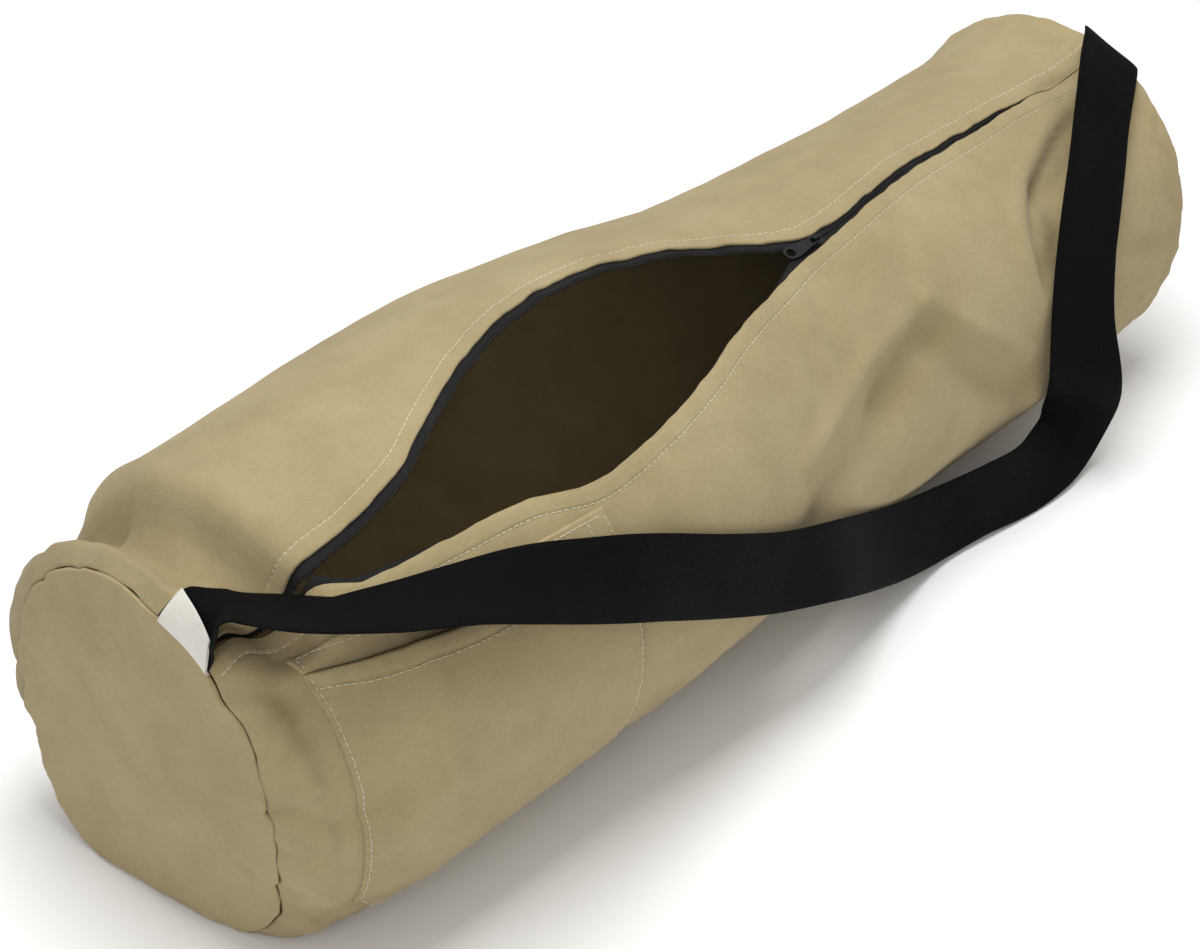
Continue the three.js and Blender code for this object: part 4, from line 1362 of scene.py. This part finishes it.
@dataclass
class Zip:
    """The long zip: two tapes under the canvas edges and two coils under the tapes.

    Attributes:
        lap: The tape's width under the canvas.
        show: The tape's width past the canvas edge.
        tuck: Degrees that the front tape turns down where the mouth gapes.
        mesh_gap: Half the gap between the tapes where the zip is closed.
        slider_length: The length over which the slider parts the tapes.
        coil_gap: Between a coil and its tape.
        pitch: The length of one turn of a coil.
        wire: The radius of the coil's wire.
        end: The share of the length left between the zip and each seam.
        depth: From the outer face of the canvas down to a tape.
    """

    lap: float = 0.009
    show: float = 0.006
    tuck: float = 80
    mesh_gap: float = 0.00035
    slider_length: float = 0.011
    coil_gap: float = 0.0004
    pitch: float = 0.0015
    wire: float = 0.00034
    end: float = 0.002
    depth: float = CANVAS + GAP

    def line(self, along: np.ndarray, side: int) -> dict[str, np.ndarray]:
        """The cross lines of a tape.

        Args:
            along: Shares of the bag's length.
            side: 1 for the front tape, -1 for the back tape.

        Returns:
            The sewn edge, canvas edge and free edge, and the ways across, inward and out.
        """
        name = "front" if side > 0 else "back"
        whole = 0 if side > 0 else 360
        lip = WRAP.lip(along, name) + whole
        sewn = CLOTH.face(along, lip + side * WRAP.degrees(along, self.lap), self.depth)
        edge = CLOTH.face(along, lip, self.depth)
        front = WRAP.skin(along, WRAP.lip(along, "front"))
        back = WRAP.skin(along, WRAP.lip(along, "back"))
        slot = np.linalg.norm(front - back, axis=-1)
        before = (SLIDER_AT - along) * BAG_LENGTH
        spread = np.clip((before + self.slider_length / 2) / 8, 0, 0.0016)
        show = np.minimum(self.show - 0.0012 * smooth(slot, 0.014, 0.03), slot / 2 - self.mesh_gap - spread)
        out = WRAP.outward(along, lip)
        zero = np.zeros_like(along)
        across = unit(np.stack([zero, side * out[:, 2], -side * out[:, 1]], -1))
        wide = smooth(slot, 2 * self.show, 10 * self.show) if side > 0 else zero
        angle = np.radians(wide * self.tuck)[:, None]
        way = across * np.cos(angle) - out * np.sin(angle)
        inner = -out * np.cos(angle) - across * np.sin(angle)
        return {
            "sewn": sewn, "edge": edge, "free": edge + way * show[:, None],
            "way": way, "inner": inner, "out": out, "slot": slot,
        }

    def places(self, count: int) -> np.ndarray:
        """Even places from one end of the zip to the other."""
        return np.linspace(self.end, 1 - self.end, count)

    def tape(self, side: int) -> bpy.types.Object:
        """Makes one tape.

        Args:
            side: 1 for the front tape, -1 for the back tape.

        Returns:
            The new piece.
        """
        along = self.places(420)
        line = self.line(along, side)
        lapped = np.linspace(0, 1, 4)[None, :, None]
        shown = np.linspace(0, 1, 7)[None, 1:, None]
        top = np.concatenate(
            [
                line["sewn"][:, None] + (line["edge"] - line["sewn"])[:, None] * lapped,
                line["edge"][:, None] + (line["free"] - line["edge"])[:, None] * shown,
            ],
            1,
        )
        bend = unit(line["inner"] - line["out"])
        down = np.concatenate(
            [
                np.repeat(-line["out"][:, None], 3, 1),
                bend[:, None],
                np.repeat(line["inner"][:, None], 6, 1),
            ],
            1,
        )
        ripple = np.stack([waver(along * BAG_LENGTH, 0.021, 0.9 + side)] * 10, 1)
        ripple = ripple * np.concatenate([np.zeros(4), np.linspace(0.2, 1, 6)]) * 0.00012
        top = top + down * ripple[..., None]
        widths = np.concatenate([np.linspace(-self.lap, 0, 4), np.linspace(0, self.show, 7)[1:]])
        cloth = np.stack(np.broadcast_arrays(along[:, None] * BAG_LENGTH, widths[None, :]), -1)
        name = "front" if side > 0 else "back"
        thing = cloth_object(f"zip_tape_cloth_{name}", Grid(top, cloth), Grid(top + down * TAPE, cloth))
        MATERIALS.dress(thing, TAPE_CLOTH)
        return place(thing, "bag", "zip_tape", f"zip_tape_{name}")

    def coil(self, side: int) -> bpy.types.Object:
        """Makes one coil of nylon wire.

        Args:
            side: 1 for the front coil, -1 for the back coil.

        Returns:
            The new piece.
        """
        steps, sides = 9, 4
        turns = int(BAG_LENGTH * (1 - 2 * self.end) / self.pitch)
        along = self.places(turns * steps + 1)
        line = self.line(along, side)
        angle = np.arange(len(along)) / steps * 2 * math.pi
        reach = (COIL_RADIUS - self.wire)
        open_part = 1 - smooth(along, SLIDER_AT - 0.03, SLIDER_AT - 0.01)
        open_part = (open_part * smooth(line["slot"], 0.007, 0.016))[:, None]
        drop = TAPE + self.coil_gap + COIL_RADIUS - open_part * (self.coil_gap + TAPE * 0.9)
        middle = line["free"] + line["inner"] * drop - line["way"] * (COIL_RADIUS * (1 - 1.35 * open_part))
        radial = line["way"] * np.cos(angle)[:, None] - line["inner"] * np.sin(angle)[:, None]
        centre = middle + radial * reach
        run = unit(np.gradient(centre, axis=0))
        third = np.cross(run, radial)
        around = np.arange(sides) * 2 * math.pi / sides
        ring = radial[:, None] * np.cos(around)[:, None] + third[:, None] * np.sin(around)[:, None]
        points = centre[:, None] + ring * self.wire
        count = len(along)
        i, j = np.meshgrid(np.arange(count - 1), np.arange(sides), indexing="ij")
        a, b = i * sides + j, i * sides + (j + 1) % sides
        faces = np.stack([a, b, b + sides, a + sides], -1).reshape(-1, 4).tolist()
        faces.append(list(range(sides))[::-1])
        faces.append([(count - 1) * sides + k for k in range(sides)])
        name = "front" if side > 0 else "back"
        thing = mesh_object(f"zip_coil_wire_{name}", points.reshape(-1, 3), faces)
        outward_faces(thing)
        MATERIALS.dress(thing, COIL_NYLON)
        return place(thing, "bag", "zip_coil", f"zip_coil_{name}")


POCKET = table(
    "along top mouth low",
    [
        (0.042, 38, 45, 118),
        (0.08, 44, 51, 133),
        (0.14, 48, 56, 131),
        (0.22, 50.5, 58.5, 128),
        (0.3, 52, 60.5, 125),
    ],
)


@dataclass
class Pocket:
    """The patch pocket on the front, with the facing over its mouth.

    Attributes:
        start: Where it begins, as a share of the bag's length.
        stop: Where it ends.
        lift: Its height over the wrap.
        gape: How far the middle of its mouth stands off.
        facing_gap: Between the facing and the pocket's mouth.
        seam: From an edge to its stitches.
        hem: From the mouth to the hem's stitches.
    """

    start: float = 0.042
    stop: float = 0.28751
    lift: float = 0.0007
    gape: float = 0.009
    facing_gap: float = 0.0005
    seam: float = 0.0026
    hem: float = 0.0085

    def panel_face(self, share: np.ndarray, down: np.ndarray, depth: float) -> np.ndarray:
        """Points of the pocket's panel.

        Args:
            share: Shares of its length, from its near edge.
            down: Shares of its height, from its mouth.
            depth: The depth under its outer face.

        Returns:
            The points in metres.
        """
        along = self.start + (self.stop - self.start) * share
        mouth, low = monotone(POCKET, "mouth", along), monotone(POCKET, "low", along)
        turn = mouth + (low - mouth) * down
        opened = np.sin(math.pi * np.clip(share, 0, 1)) ** 0.7
        opened = opened * np.maximum(np.cos(math.pi / 2 * down), 0) ** 0.8
        height = self.lift + self.gape * opened + CANVAS
        length = (self.stop - self.start) * BAG_LENGTH
        tall = np.radians(low - mouth) * monotone(SECTIONS, "wide", along) * END_RADIUS
        side = np.minimum(share, 1 - share) * length
        bottom = (1 - down) * tall
        edge = np.minimum(side, bottom)
        top = down * tall
        run, rise = share * length, down * tall
        puff = 0.0005 * smooth(edge, self.seam, self.seam + 0.010) * (1 - smooth(edge, 0.016, 0.06))
        groove = -0.0005 * np.exp(-(((edge - self.seam) / 0.0009) ** 2))
        lowered = -0.0011 * (1 - smooth(edge, 0, 0.0018)) ** 2
        pucker = 0.0004 * np.sin(2 * math.pi * np.where(side < bottom, rise, run) / 0.0088 + 1.3)
        pucker = pucker * np.exp(-(((edge - self.seam) / 0.005) ** 2))
        hem = 0.0006 * (1 - smooth(top, self.hem - 0.0012, self.hem + 0.0012)) * smooth(edge, 0.002, 0.006)
        hem -= 0.0006 * np.exp(-(((top - self.hem) / 0.0009) ** 2)) * smooth(edge, 0.002, 0.004)
        hem -= 0.0006 * (1 - smooth(top, 0, 0.0015)) ** 2
        hem_pucker = 0.00035 * np.sin(2 * math.pi * run / 0.0094 + 2 * waver(run, 0.06, 0.4))
        hem += hem_pucker * np.exp(-(((top - self.hem) / 0.006) ** 2))
        flat = np.stack([run, rise, 0 * run], -1)
        slack = 0.0007 * cloth_noise(flat, 0.040, 5.5) * smooth(edge, 0.004, 0.03)
        total = height + puff + groove + lowered + pucker + hem + slack
        return CLOTH.face(along, turn) + WRAP.outward(along, turn, True) * (total - depth)[..., None]

    def panel_grid(self) -> tuple[np.ndarray, np.ndarray]:
        """Shares along and down the panel where its mesh has points, close to its edges.

        Returns:
            The shares along and the shares down, as two grids.
        """
        length = (self.stop - self.start) * BAG_LENGTH
        tall = 0.145
        close = np.array([0, 0.0005, 0.0012, 0.002, 0.0026, 0.0032, 0.0042, 0.006, 0.0085])
        upper = np.array([0, 0.0006, 0.0015, 0.0035, 0.006, 0.0075, 0.0085, 0.0095, 0.011, 0.014])
        inner = np.linspace(close[-1] / length, 1 - close[-1] / length, 56)
        share = np.concatenate([close[:-1] / length, inner, 1 - close[:-1][::-1] / length])
        middle = np.linspace(upper[-1] / tall, 1 - close[-1] / tall, 44)
        down = np.concatenate([upper[:-1] / tall, middle, 1 - close[:-1][::-1] / tall])
        return np.meshgrid(share, down, indexing="ij")

    def panel(self) -> bpy.types.Object:
        """Makes the pocket's panel.

        Returns:
            The new piece.
        """
        share, down = self.panel_grid()
        cloth = np.stack([share * (self.stop - self.start) * BAG_LENGTH, down * 0.145], -1)
        top = Grid(self.panel_face(share, down, 0), cloth)
        bottom = Grid(self.panel_face(share, down, CANVAS), cloth)
        thing = cloth_object("pocket_cloth", top, bottom)
        MATERIALS.dress(thing, CANVAS_CLOTH)
        return place(thing, "bag", "canvas", "pocket_panel")

    def facing_face(self, share: np.ndarray, down: np.ndarray, depth: float) -> np.ndarray:
        """Points of the facing, in the same terms as the panel's.

        Args:
            share: Shares of its length, from its near edge.
            down: Shares of its height.
            depth: The depth under its outer face.

        Returns:
            The points in metres.
        """
        along = self.start + (self.stop - self.start) * share
        top = monotone(POCKET, "top", along)
        low = monotone(POCKET, "mouth", along) - WRAP.degrees(along, self.facing_gap)
        turn = top + (low - top) * down
        length = (self.stop - self.start) * BAG_LENGTH
        tall = np.radians(low - top) * monotone(SECTIONS, "wide", along) * END_RADIUS
        edge = np.minimum(np.minimum(share, 1 - share) * length, down * tall)
        height = self.lift + CANVAS - 0.001 * (1 - smooth(edge, 0, 0.0016)) ** 2
        height = height - 0.0004 * np.exp(-(((edge - self.seam) / 0.0009) ** 2))
        height = height + 0.0003 * np.sin(2 * math.pi * share * length / 0.0091) * np.exp(-edge / 0.006)
        return CLOTH.face(along, turn) + WRAP.outward(along, turn, True) * (height - depth)[..., None]

    def facing(self) -> bpy.types.Object:
        """Makes the facing strip over the mouth.

        Returns:
            The new piece.
        """
        length = (self.stop - self.start) * BAG_LENGTH
        close = np.array([0, 0.0006, 0.0014, 0.0022, 0.003, 0.0045]) / length
        inner = np.linspace(close[-1], 1 - close[-1], 70)
        share = np.concatenate([close[:-1], inner, 1 - close[:-1][::-1]])
        down = np.array([0, 0.04, 0.09, 0.15, 0.2, 0.26, 0.36, 0.5, 0.64, 0.78, 0.9, 1])
        share, down = np.meshgrid(share, down, indexing="ij")
        cloth = np.stack([share * length, down * 0.014 + 0.3], -1)
        top = Grid(self.facing_face(share, down, 0), cloth)
        bottom = Grid(self.facing_face(share, down, CANVAS), cloth)
        thing = cloth_object("facing_cloth", top, bottom)
        MATERIALS.dress(thing, FACING_CLOTH)
        return place(thing, "bag", "canvas_facing", "pocket_facing")

    def stitch_rows(self) -> list[tuple[np.ndarray, np.ndarray]]:
        """The rows of stitches of the pocket and its facing.

        Returns:
            For each row its points and the directions out of the cloth.
        """
        length = (self.stop - self.start) * BAG_LENGTH
        inset, tall = self.seam / length, 0.145
        one = np.linspace(0, 1, 260)
        near, far, low = inset + 0 * one, 1 - inset + 0 * one, 1 - self.seam / tall + 0 * one
        across = inset + (1 - 2 * inset) * one
        upright = 0.012 + (1 - self.seam / tall - 0.012) * one
        panel_rows = [
            (near, upright),
            (across, low),
            (far, upright),
            (across, self.hem / tall + 0 * one),
        ]
        facing_rows = [
            (across, 0.19 + 0 * one),
            (near, 0.19 + 0.76 * one),
            (far, 0.19 + 0.76 * one),
            (1 - (self.seam + 0.012) / length + 0 * one, 0.19 + 0.76 * one),
        ]
        found = []
        groups = ((self.panel_face, panel_rows, "mouth"), (self.facing_face, facing_rows, "top"))
        for face, rows, inner in groups:
            for share, down in rows:
                along = self.start + (self.stop - self.start) * share
                turn = monotone(POCKET, inner, along)
                if inner == "mouth":
                    turn = turn + (monotone(POCKET, "low", along) - turn) * down
                found.append((face(share, down, 0), WRAP.outward(along, turn, True)))
        return found


STRAP = table(
    "at out up heading rise width",
    [
        (-0.5, 0.38, 1.95, 0, 25, 0.85),
        (-0.494, 0.46, 2.1, 4, -6, 0.85),
        (-0.483, 0.52, 2.15, 20, -22, 0.92),
        (-0.47, 0.64, 2.16, 27, -22, 1),
        (-0.452, 0.99, 2.24, 36, -20, 1),
        (-0.422, 1.14, 2.22, 37, -12, 1),
        (-0.36, 1.25, 2.1, 38, -4, 1),
        (-0.3, 1.33, 1.95, 55, 13, 1),
        (-0.255, 1.39, 1.81, 50, 24, 1),
        (-0.208, 1.45, 1.66, 12, 66, 1),
        (-0.142, 1.47, 1.39, -8, 78, 1),
        (-0.07, 1.46, 1.1, -25, 79, 1),
        (-0.003, 1.44, 0.88, 8, 74, 1),
        (0.065, 1.31, 0.58, 22, 71, 1),
        (0.12, 1.22, 0.37, 14, 70, 1),
        (0.171, 1.18, 0.25, 0, 71, 1),
        (0.22, 1.24, 0.25, -54, 68, 1),
        (0.265, 1.27, 0.22, -62, 58, 1),
        (0.3, 1.25, 0.22, -57, 49, 1),
        (0.335, 1.21, 0.24, -53, 36, 1),
        (0.345, 1.22, 0.43, -52, 31, 1),
        (0.328, 1.33, 0.64, -58, 25, 1),
        (0.327, 1.27, 1, -67, 19, 1),
        (0.355, 1.11, 1.38, -72, 20, 1),
        (0.397, 0.92, 1.64, -71, 26, 1),
        (0.442, 0.71, 1.83, -71, 29, 1),
        (0.473, 0.57, 1.95, -67, 31, 1),
        (0.504, 0.43, 1.98, -45, 40, 0.93),
        (0.512, 0.36, 1.93, 0, 20, 0.84),
    ],
)


def smooth_path(points: np.ndarray, steps: int) -> np.ndarray:
    """A smooth path through points, with corners spaced by their distances.

    Args:
        points: The points that the path runs through.
        steps: The number of steps between two of them.

    Returns:
        The path's points.
    """
    before, after = 2 * points[0] - points[1], 2 * points[-1] - points[-2]
    p = np.vstack([before, points, after])
    t = np.arange(steps)[:, None] / steps
    found = []
    for k in range(len(points) - 1):
        x0, x1, x2, x3 = p[k], p[k + 1], p[k + 2], p[k + 3]
        d0, d1, d2 = (np.linalg.norm(b - a) ** 0.5 for a, b in ((x0, x1), (x1, x2), (x2, x3)))
        m1 = ((x1 - x0) / d0 - (x2 - x0) / (d0 + d1) + (x2 - x1) / d1) * d1
        m2 = ((x2 - x1) / d1 - (x3 - x1) / (d1 + d2) + (x3 - x2) / d2) * d1
        found.append(
            x1 + m1 * t + (-3 * x1 + 3 * x2 - 2 * m1 - m2) * t**2 + (2 * x1 - 2 * x2 + m1 + m2) * t**3
        )
    return np.vstack([*found, points[-1:]])


@dataclass
class Strap:
    """The shoulder strap of flat webbing, from seam to seam.

    Attributes:
        width: The webbing's width.
        thick: The webbing's thickness.
        steps: Rows of the mesh between two places of the table.
        columns: Columns across the webbing.
        root_lift: How far its ends stand over the seams.
        root_sink: How far its last row goes down into a seam.
    """

    width: float = 0.046
    thick: float = 0.0022
    steps: int = 18
    columns: int = 19
    root_lift: float = 0.0011
    root_sink: float = 0.0030

    def frames(self) -> tuple[np.ndarray, np.ndarray, np.ndarray, np.ndarray]:
        """The strap's middle line, its sideways and upward directions and its half width.

        Returns:
            Middle points, width directions, face directions and half widths.
        """
        cells = (STRAP["at"] * BAG_LENGTH, -STRAP["out"] * END_RADIUS, STRAP["up"] * END_RADIUS)
        centres = np.stack(cells, -1)
        middle = smooth_path(centres, self.steps)
        heading, rise = np.radians(STRAP["heading"]), np.radians(STRAP["rise"])
        turn_at = np.arange(len(middle)) / self.steps
        soften = np.exp(-(((turn_at - 20.2) / 1.9) ** 4))[:, None]
        wide_kernel = np.hanning(3 * self.steps + 2)[1:-1]
        reach = len(wide_kernel) // 2
        padded = np.concatenate([np.repeat(middle[:1], reach, 0), middle, np.repeat(middle[-1:], reach, 0)])
        wide_kernel = wide_kernel / wide_kernel.sum()
        soft = np.stack([np.convolve(padded[:, k], wide_kernel, "valid") for k in range(3)], -1)
        middle = middle + (soft[: len(middle)] - middle) * soften
        widths = np.stack([np.cos(rise) * np.sin(heading), np.cos(rise) * np.cos(heading), np.sin(rise)], -1)
        places = np.arange(len(middle)) / self.steps
        known = np.arange(len(widths))
        width = np.stack([np.interp(places, known, widths[:, k]) for k in range(3)], -1)
        share = np.interp(places, known, STRAP["width"])
        run = unit(np.gradient(middle, axis=0))
        width = unit(width - run * (width * run).sum(-1, keepdims=True))
        half = self.steps
        kernel = np.hanning(2 * self.steps + 3)[1:-1]
        kernel = kernel / kernel.sum()
        padded = np.concatenate([np.repeat(width[:1], half, 0), width, np.repeat(width[-1:], half, 0)])
        eased = np.stack([np.convolve(padded[:, k], kernel, "valid") for k in range(3)], -1)
        eased = eased[: len(width)]
        width = unit(eased - run * (eased * run).sum(-1, keepdims=True))
        return middle, width, unit(np.cross(width, run)), share * self.width / 2

    def on_seam(self, end: int, p: np.ndarray) -> np.ndarray:
        """The places on a seam that are nearest to points beside it.

        Args:
            end: 0 for the near seam, 1 for the far seam.
            p: The points.

        Returns:
            The places in metres.
        """
        centre = EndDisc(end, ()).centre()
        turn = np.degrees(np.arctan2(centre[1] - p[:, 1], p[:, 2] - centre[2]))
        seam = WRAP.skin(np.full_like(turn, float(end)), turn)
        angle = np.radians(turn)
        way = np.stack([0 * angle, -np.sin(angle), np.cos(angle)], -1)
        seam = seam + way * self.root_lift
        seam[:, 0] += (self.thick / 2 + GAP) * (-1 if end == 0 else 1)
        return seam

    def build(self) -> bpy.types.Object:
        """Makes the strap and dresses it.

        Returns:
            The new piece.
        """
        middle, width, face, half = self.frames()
        quarter = math.pi / 2
        share = np.sin(np.linspace(-quarter, quarter, self.columns) * 0.98) / math.sin(quarter * 0.98)
        base = middle[:, None] + width[:, None] * (share * half[:, None])[..., None]
        run = np.concatenate([[0], np.cumsum(np.linalg.norm(np.diff(middle, axis=0), axis=1))])
        blend = 14
        for end, rows in ((0, np.arange(blend)), (1, len(middle) - 1 - np.arange(blend))):
            seam = self.on_seam(end, base[rows[0]])
            shift = seam - base[rows[0]]
            ease = (1 - np.arange(blend) / blend)[:, None, None]
            base[rows] = base[rows] + shift[None] * ease
        for row, end in ((0, 0), (len(base) - 1, 1)):
            angle = np.arctan2(EndDisc(end, ()).centre()[1] - base[row, :, 1], base[row, :, 2] - END_RADIUS)
            inward = np.stack([np.full_like(angle, 1 - 2 * end), np.sin(angle), -np.cos(angle)], -1)
            base[row] = base[row] + inward * self.root_sink
        crown = 0.0003 * np.cos(share * math.pi) + 0.00035 * cloth_noise(base, 0.03, 4.0)
        base = base + face[:, None] * crown[..., None]
        thick = self.thick / 2 * (1 - 0.45 * np.abs(share) ** 14)
        cloth = np.stack(np.broadcast_arrays(run[:, None], share[None, :] * self.width / 2), -1)
        top = Grid(base + face[:, None] * thick[:, None], cloth)
        bottom = Grid(base - face[:, None] * thick[:, None], cloth)
        thing = cloth_object("strap_webbing", top, bottom)
        MATERIALS.dress(thing, WEBBING_CLOTH)
        return place(thing, "bag", "webbing", "strap")


@dataclass
class LabelTab:
    """The small folded tab in the near seam, left bare.

    Attributes:
        turns: The places of its corners on the seam, in degrees.
        lean: How far each of them leans to the far end.
        out: How far it stands out.
        thick: The thickness of its two leaves together.
        leaf: The thickness of one leaf.
        stand: The degrees from upright in which its two ends stand out.
        sink: How far it goes down into the seam.
    """

    turns: tuple[float, ...] = (13.5, 19, 26, 32.5)
    lean: tuple[float, ...] = (0.36, 0.24, 0.10, 0.0)
    out: float = 0.025
    thick: float = 0.0014
    leaf: float = 0.0005
    stand: tuple[float, float] = (25.0, 12.0)
    sink: float = 0.0034

    def build(self) -> bpy.types.Object:
        """Makes the tab: a ribbon that goes out, folds and comes back.

        Returns:
            The new piece.
        """
        turn = np.linspace(self.turns[0], self.turns[-1], 20)
        turned = np.radians(np.linspace(self.stand[0], self.stand[1], 20))
        lean = np.interp(turn, self.turns, self.lean)
        lean = np.convolve(np.pad(lean, 3, "reflect", reflect_type="odd"), np.ones(7) / 7, "valid")
        fold = self.thick / 2 - self.leaf / 2
        straight = np.linspace(-self.sink, self.out - self.thick / 2, 20)
        bend = np.linspace(0, math.pi, 9)[1:-1]
        reach = np.concatenate([straight, straight[-1] + fold * np.sin(bend), straight[::-1]])
        side = np.concatenate([np.ones(20), np.cos(bend), -np.ones(20)])
        way_x = np.concatenate([np.ones(20), np.cos(bend), -np.ones(20)])
        way_out = np.concatenate([np.zeros(20), np.sin(bend), np.zeros(20)])
        front = -BAG_LENGTH / 2 - (Strap.thick / 2 + GAP) - Strap.thick / 2 - GAP - self.thick / 2
        seam = WRAP.skin(np.zeros_like(turn), turn)
        angle = np.radians(turn)
        radial = np.stack([0 * angle, -np.sin(turned), np.cos(turned)], -1)
        puff = 0.0002 * np.sin(math.pi * np.clip(reach / self.out, 0, 1))

        def leaf_face(offset: float) -> np.ndarray:
            """One face of the ribbon, at an offset from its middle.

            Args:
                offset: The offset in metres.

            Returns:
                The points in metres.
            """
            along_x = side * (fold + puff) + way_x * offset
            outward = reach + way_out * offset
            points = np.repeat(seam[:, None], len(reach), 1)
            bent = lean[:, None] * (outward[None, :] ** 2 / self.out)
            sunk = np.maximum(-outward, 0)[None, :] * 0.8
            points[..., 0] = front + bent + sunk + along_x[None, :]
            height = Strap.root_lift + outward[None, :] * np.sqrt(1 - lean[:, None] ** 2)
            return points + radial[:, None] * height[..., None]

        heights = np.arange(len(reach))[None, :] * 0.0012
        cloth = np.stack(np.broadcast_arrays(angle[:, None] * END_RADIUS, heights), -1)
        upper, lower = (Grid(leaf_face(way * self.leaf / 2), cloth) for way in (1, -1))
        thing = cloth_object("label_ribbon", upper, lower)
        MATERIALS.dress(thing, LABEL_CLOTH)
        return place(thing, "bag", "label_cloth", "label_tab")


@dataclass
class Studio:
    """The camera, the soft lights and the pale floor.

    Attributes:
        eye: The camera's place.
        right: The camera's right.
        up: The camera's up.
        lens: The lens, in millimetres on a sensor 36 mm wide.
    """

    eye: tuple[float, float, float] = (-1.2463, -1.1203, 1.3822)
    right: tuple[float, float, float] = (0.6783, -0.7348, 0.0)
    up: tuple[float, float, float] = (0.4527, 0.4178, 0.7877)
    lens: float = 108.8

    def camera(self) -> None:
        """Makes the camera and gives it to the scene."""
        data = bpy.data.cameras.new("camera")
        data.lens, data.sensor_width, data.sensor_fit = self.lens, 36.0, "HORIZONTAL"
        data.clip_start, data.clip_end = 0.05, 50.0
        right, up = Vector(self.right), Vector(self.up)
        back = right.cross(up)
        turned = Matrix((right, up, back)).transposed().to_4x4()
        thing = bpy.data.objects.new("camera", data)
        thing.matrix_world = Matrix.Translation(Vector(self.eye)) @ turned
        bpy.context.scene.collection.objects.link(thing)
        bpy.context.scene.camera = thing

    def light(self, name: str, at: tuple, towards: tuple, size: float, power: float) -> None:
        """Adds a large soft light.

        Args:
            name: The light's name.
            at: Its place.
            towards: The point that it faces.
            size: The length of its sides.
            power: Its power in watts.
        """
        data = bpy.data.lights.new(name, "AREA")
        data.size, data.energy = size, power
        thing = bpy.data.objects.new(name, data)
        thing.location = at
        thing.rotation_euler = (Vector(towards) - Vector(at)).to_track_quat("-Z", "Y").to_euler()
        bpy.context.scene.collection.objects.link(thing)

    def build(self) -> None:
        """Makes the lights, the sky and the floor."""
        scene = bpy.context.scene
        scene.view_settings.view_transform = "Standard"
        world = bpy.data.worlds.new("studio")
        world.use_nodes = True
        sky = world.node_tree.nodes["Background"]
        sky.inputs["Color"].default_value = (1.0, 1.0, 1.0, 1.0)
        sky.inputs["Strength"].default_value = 0.56
        scene.world = world
        self.light("over", (0.0, 0.0, 2.5), (0.0, 0.0, 0.1), 1.3, 45.5)
        self.light("near", (-2.2, -1.2, 1.5), (0.0, 0.0, 0.1), 1.4, 10.0)
        corners = np.array([(-6, -6, 0), (6, -6, 0), (6, 6, 0), (-6, 6, 0)], float)
        floor = mesh_object("floor", corners, [[0, 1, 2, 3]])
        material = bpy.data.materials.new("pale_floor")
        n = Nodes(material)
        n.value(n.shader, Socket.COLOUR.value, (0.93, 0.93, 0.93, 1.0))
        n.value(n.shader, Socket.ROUGHNESS.value, 0.9)
        n.value(n.shader, Socket.SPECULAR.value, 0.1)
        floor.data.materials.append(material)


def dress_metal(frame: dict) -> None:
    """Gives the zip's slider and pull their enamelled finish.

    Args:
        frame: The loaded model.
    """
    for name in ("zip_slider", "zip_pull"):
        thing = frame["nodes"][name]
        if SLIDER_METAL.name not in MATERIALS.made:
            MATERIALS.made[SLIDER_METAL.name] = SLIDER_METAL.make()
        for slot in thing.material_slots:
            slot.material = MATERIALS.made[SLIDER_METAL.name]
        LOG.info("%s: dressed", name)


def main() -> None:
    """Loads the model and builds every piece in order."""
    logging.basicConfig(level=logging.INFO, format="%(name)s: %(message)s")
    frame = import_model()
    studio = Studio()
    studio.camera()
    studio.build()
    panel = WrapPanel()
    panel.build()
    near = EndDisc(
        0,
        (
            (0.55, 0.75, -0.62, -0.62, 0.10, 0.016),
            (0.10, 0.85, -0.80, -0.30, 0.12, 0.012),
            (0.80, 0.45, -0.35, -0.78, 0.13, 0.014),
            (0.35, 0.55, -0.70, -0.45, 0.05, 0.006),
            (0.70, 0.05, 0.00, -0.80, 0.06, -0.006),
            (0.62, 0.62, -0.10, -0.22, 0.045, -0.006),
        ),
    )
    far = EndDisc(1, ((-0.6, 0.5, 0.2, -0.7, 0.2, 0.03), (0.1, 0.7, 0.6, -0.3, 0.2, 0.025)))
    near.build("near_end_cloth", "end_disc_near")
    far.build("far_end_cloth", "end_disc_far")
    zip_ = Zip()
    for side in (-1, 1):
        zip_.tape(side)
        zip_.coil(side)
    pocket = Pocket()
    pocket.panel()
    pocket.facing()
    Strap().build()
    LabelTab().build()
    dress_metal(frame)
    stitches = Stitches("hem_stitches")
    for side in ("front", "back"):
        stitches.add(*panel.lip_stitches(side, CLOTH.hem))
    stitches.build("bag", "canvas")
    sewn = Stitches("pocket_stitches")
    for path, out in pocket.stitch_rows():
        sewn.add(path, out)
    sewn.build("bag", "canvas")


if __name__ == "__main__":
    main()
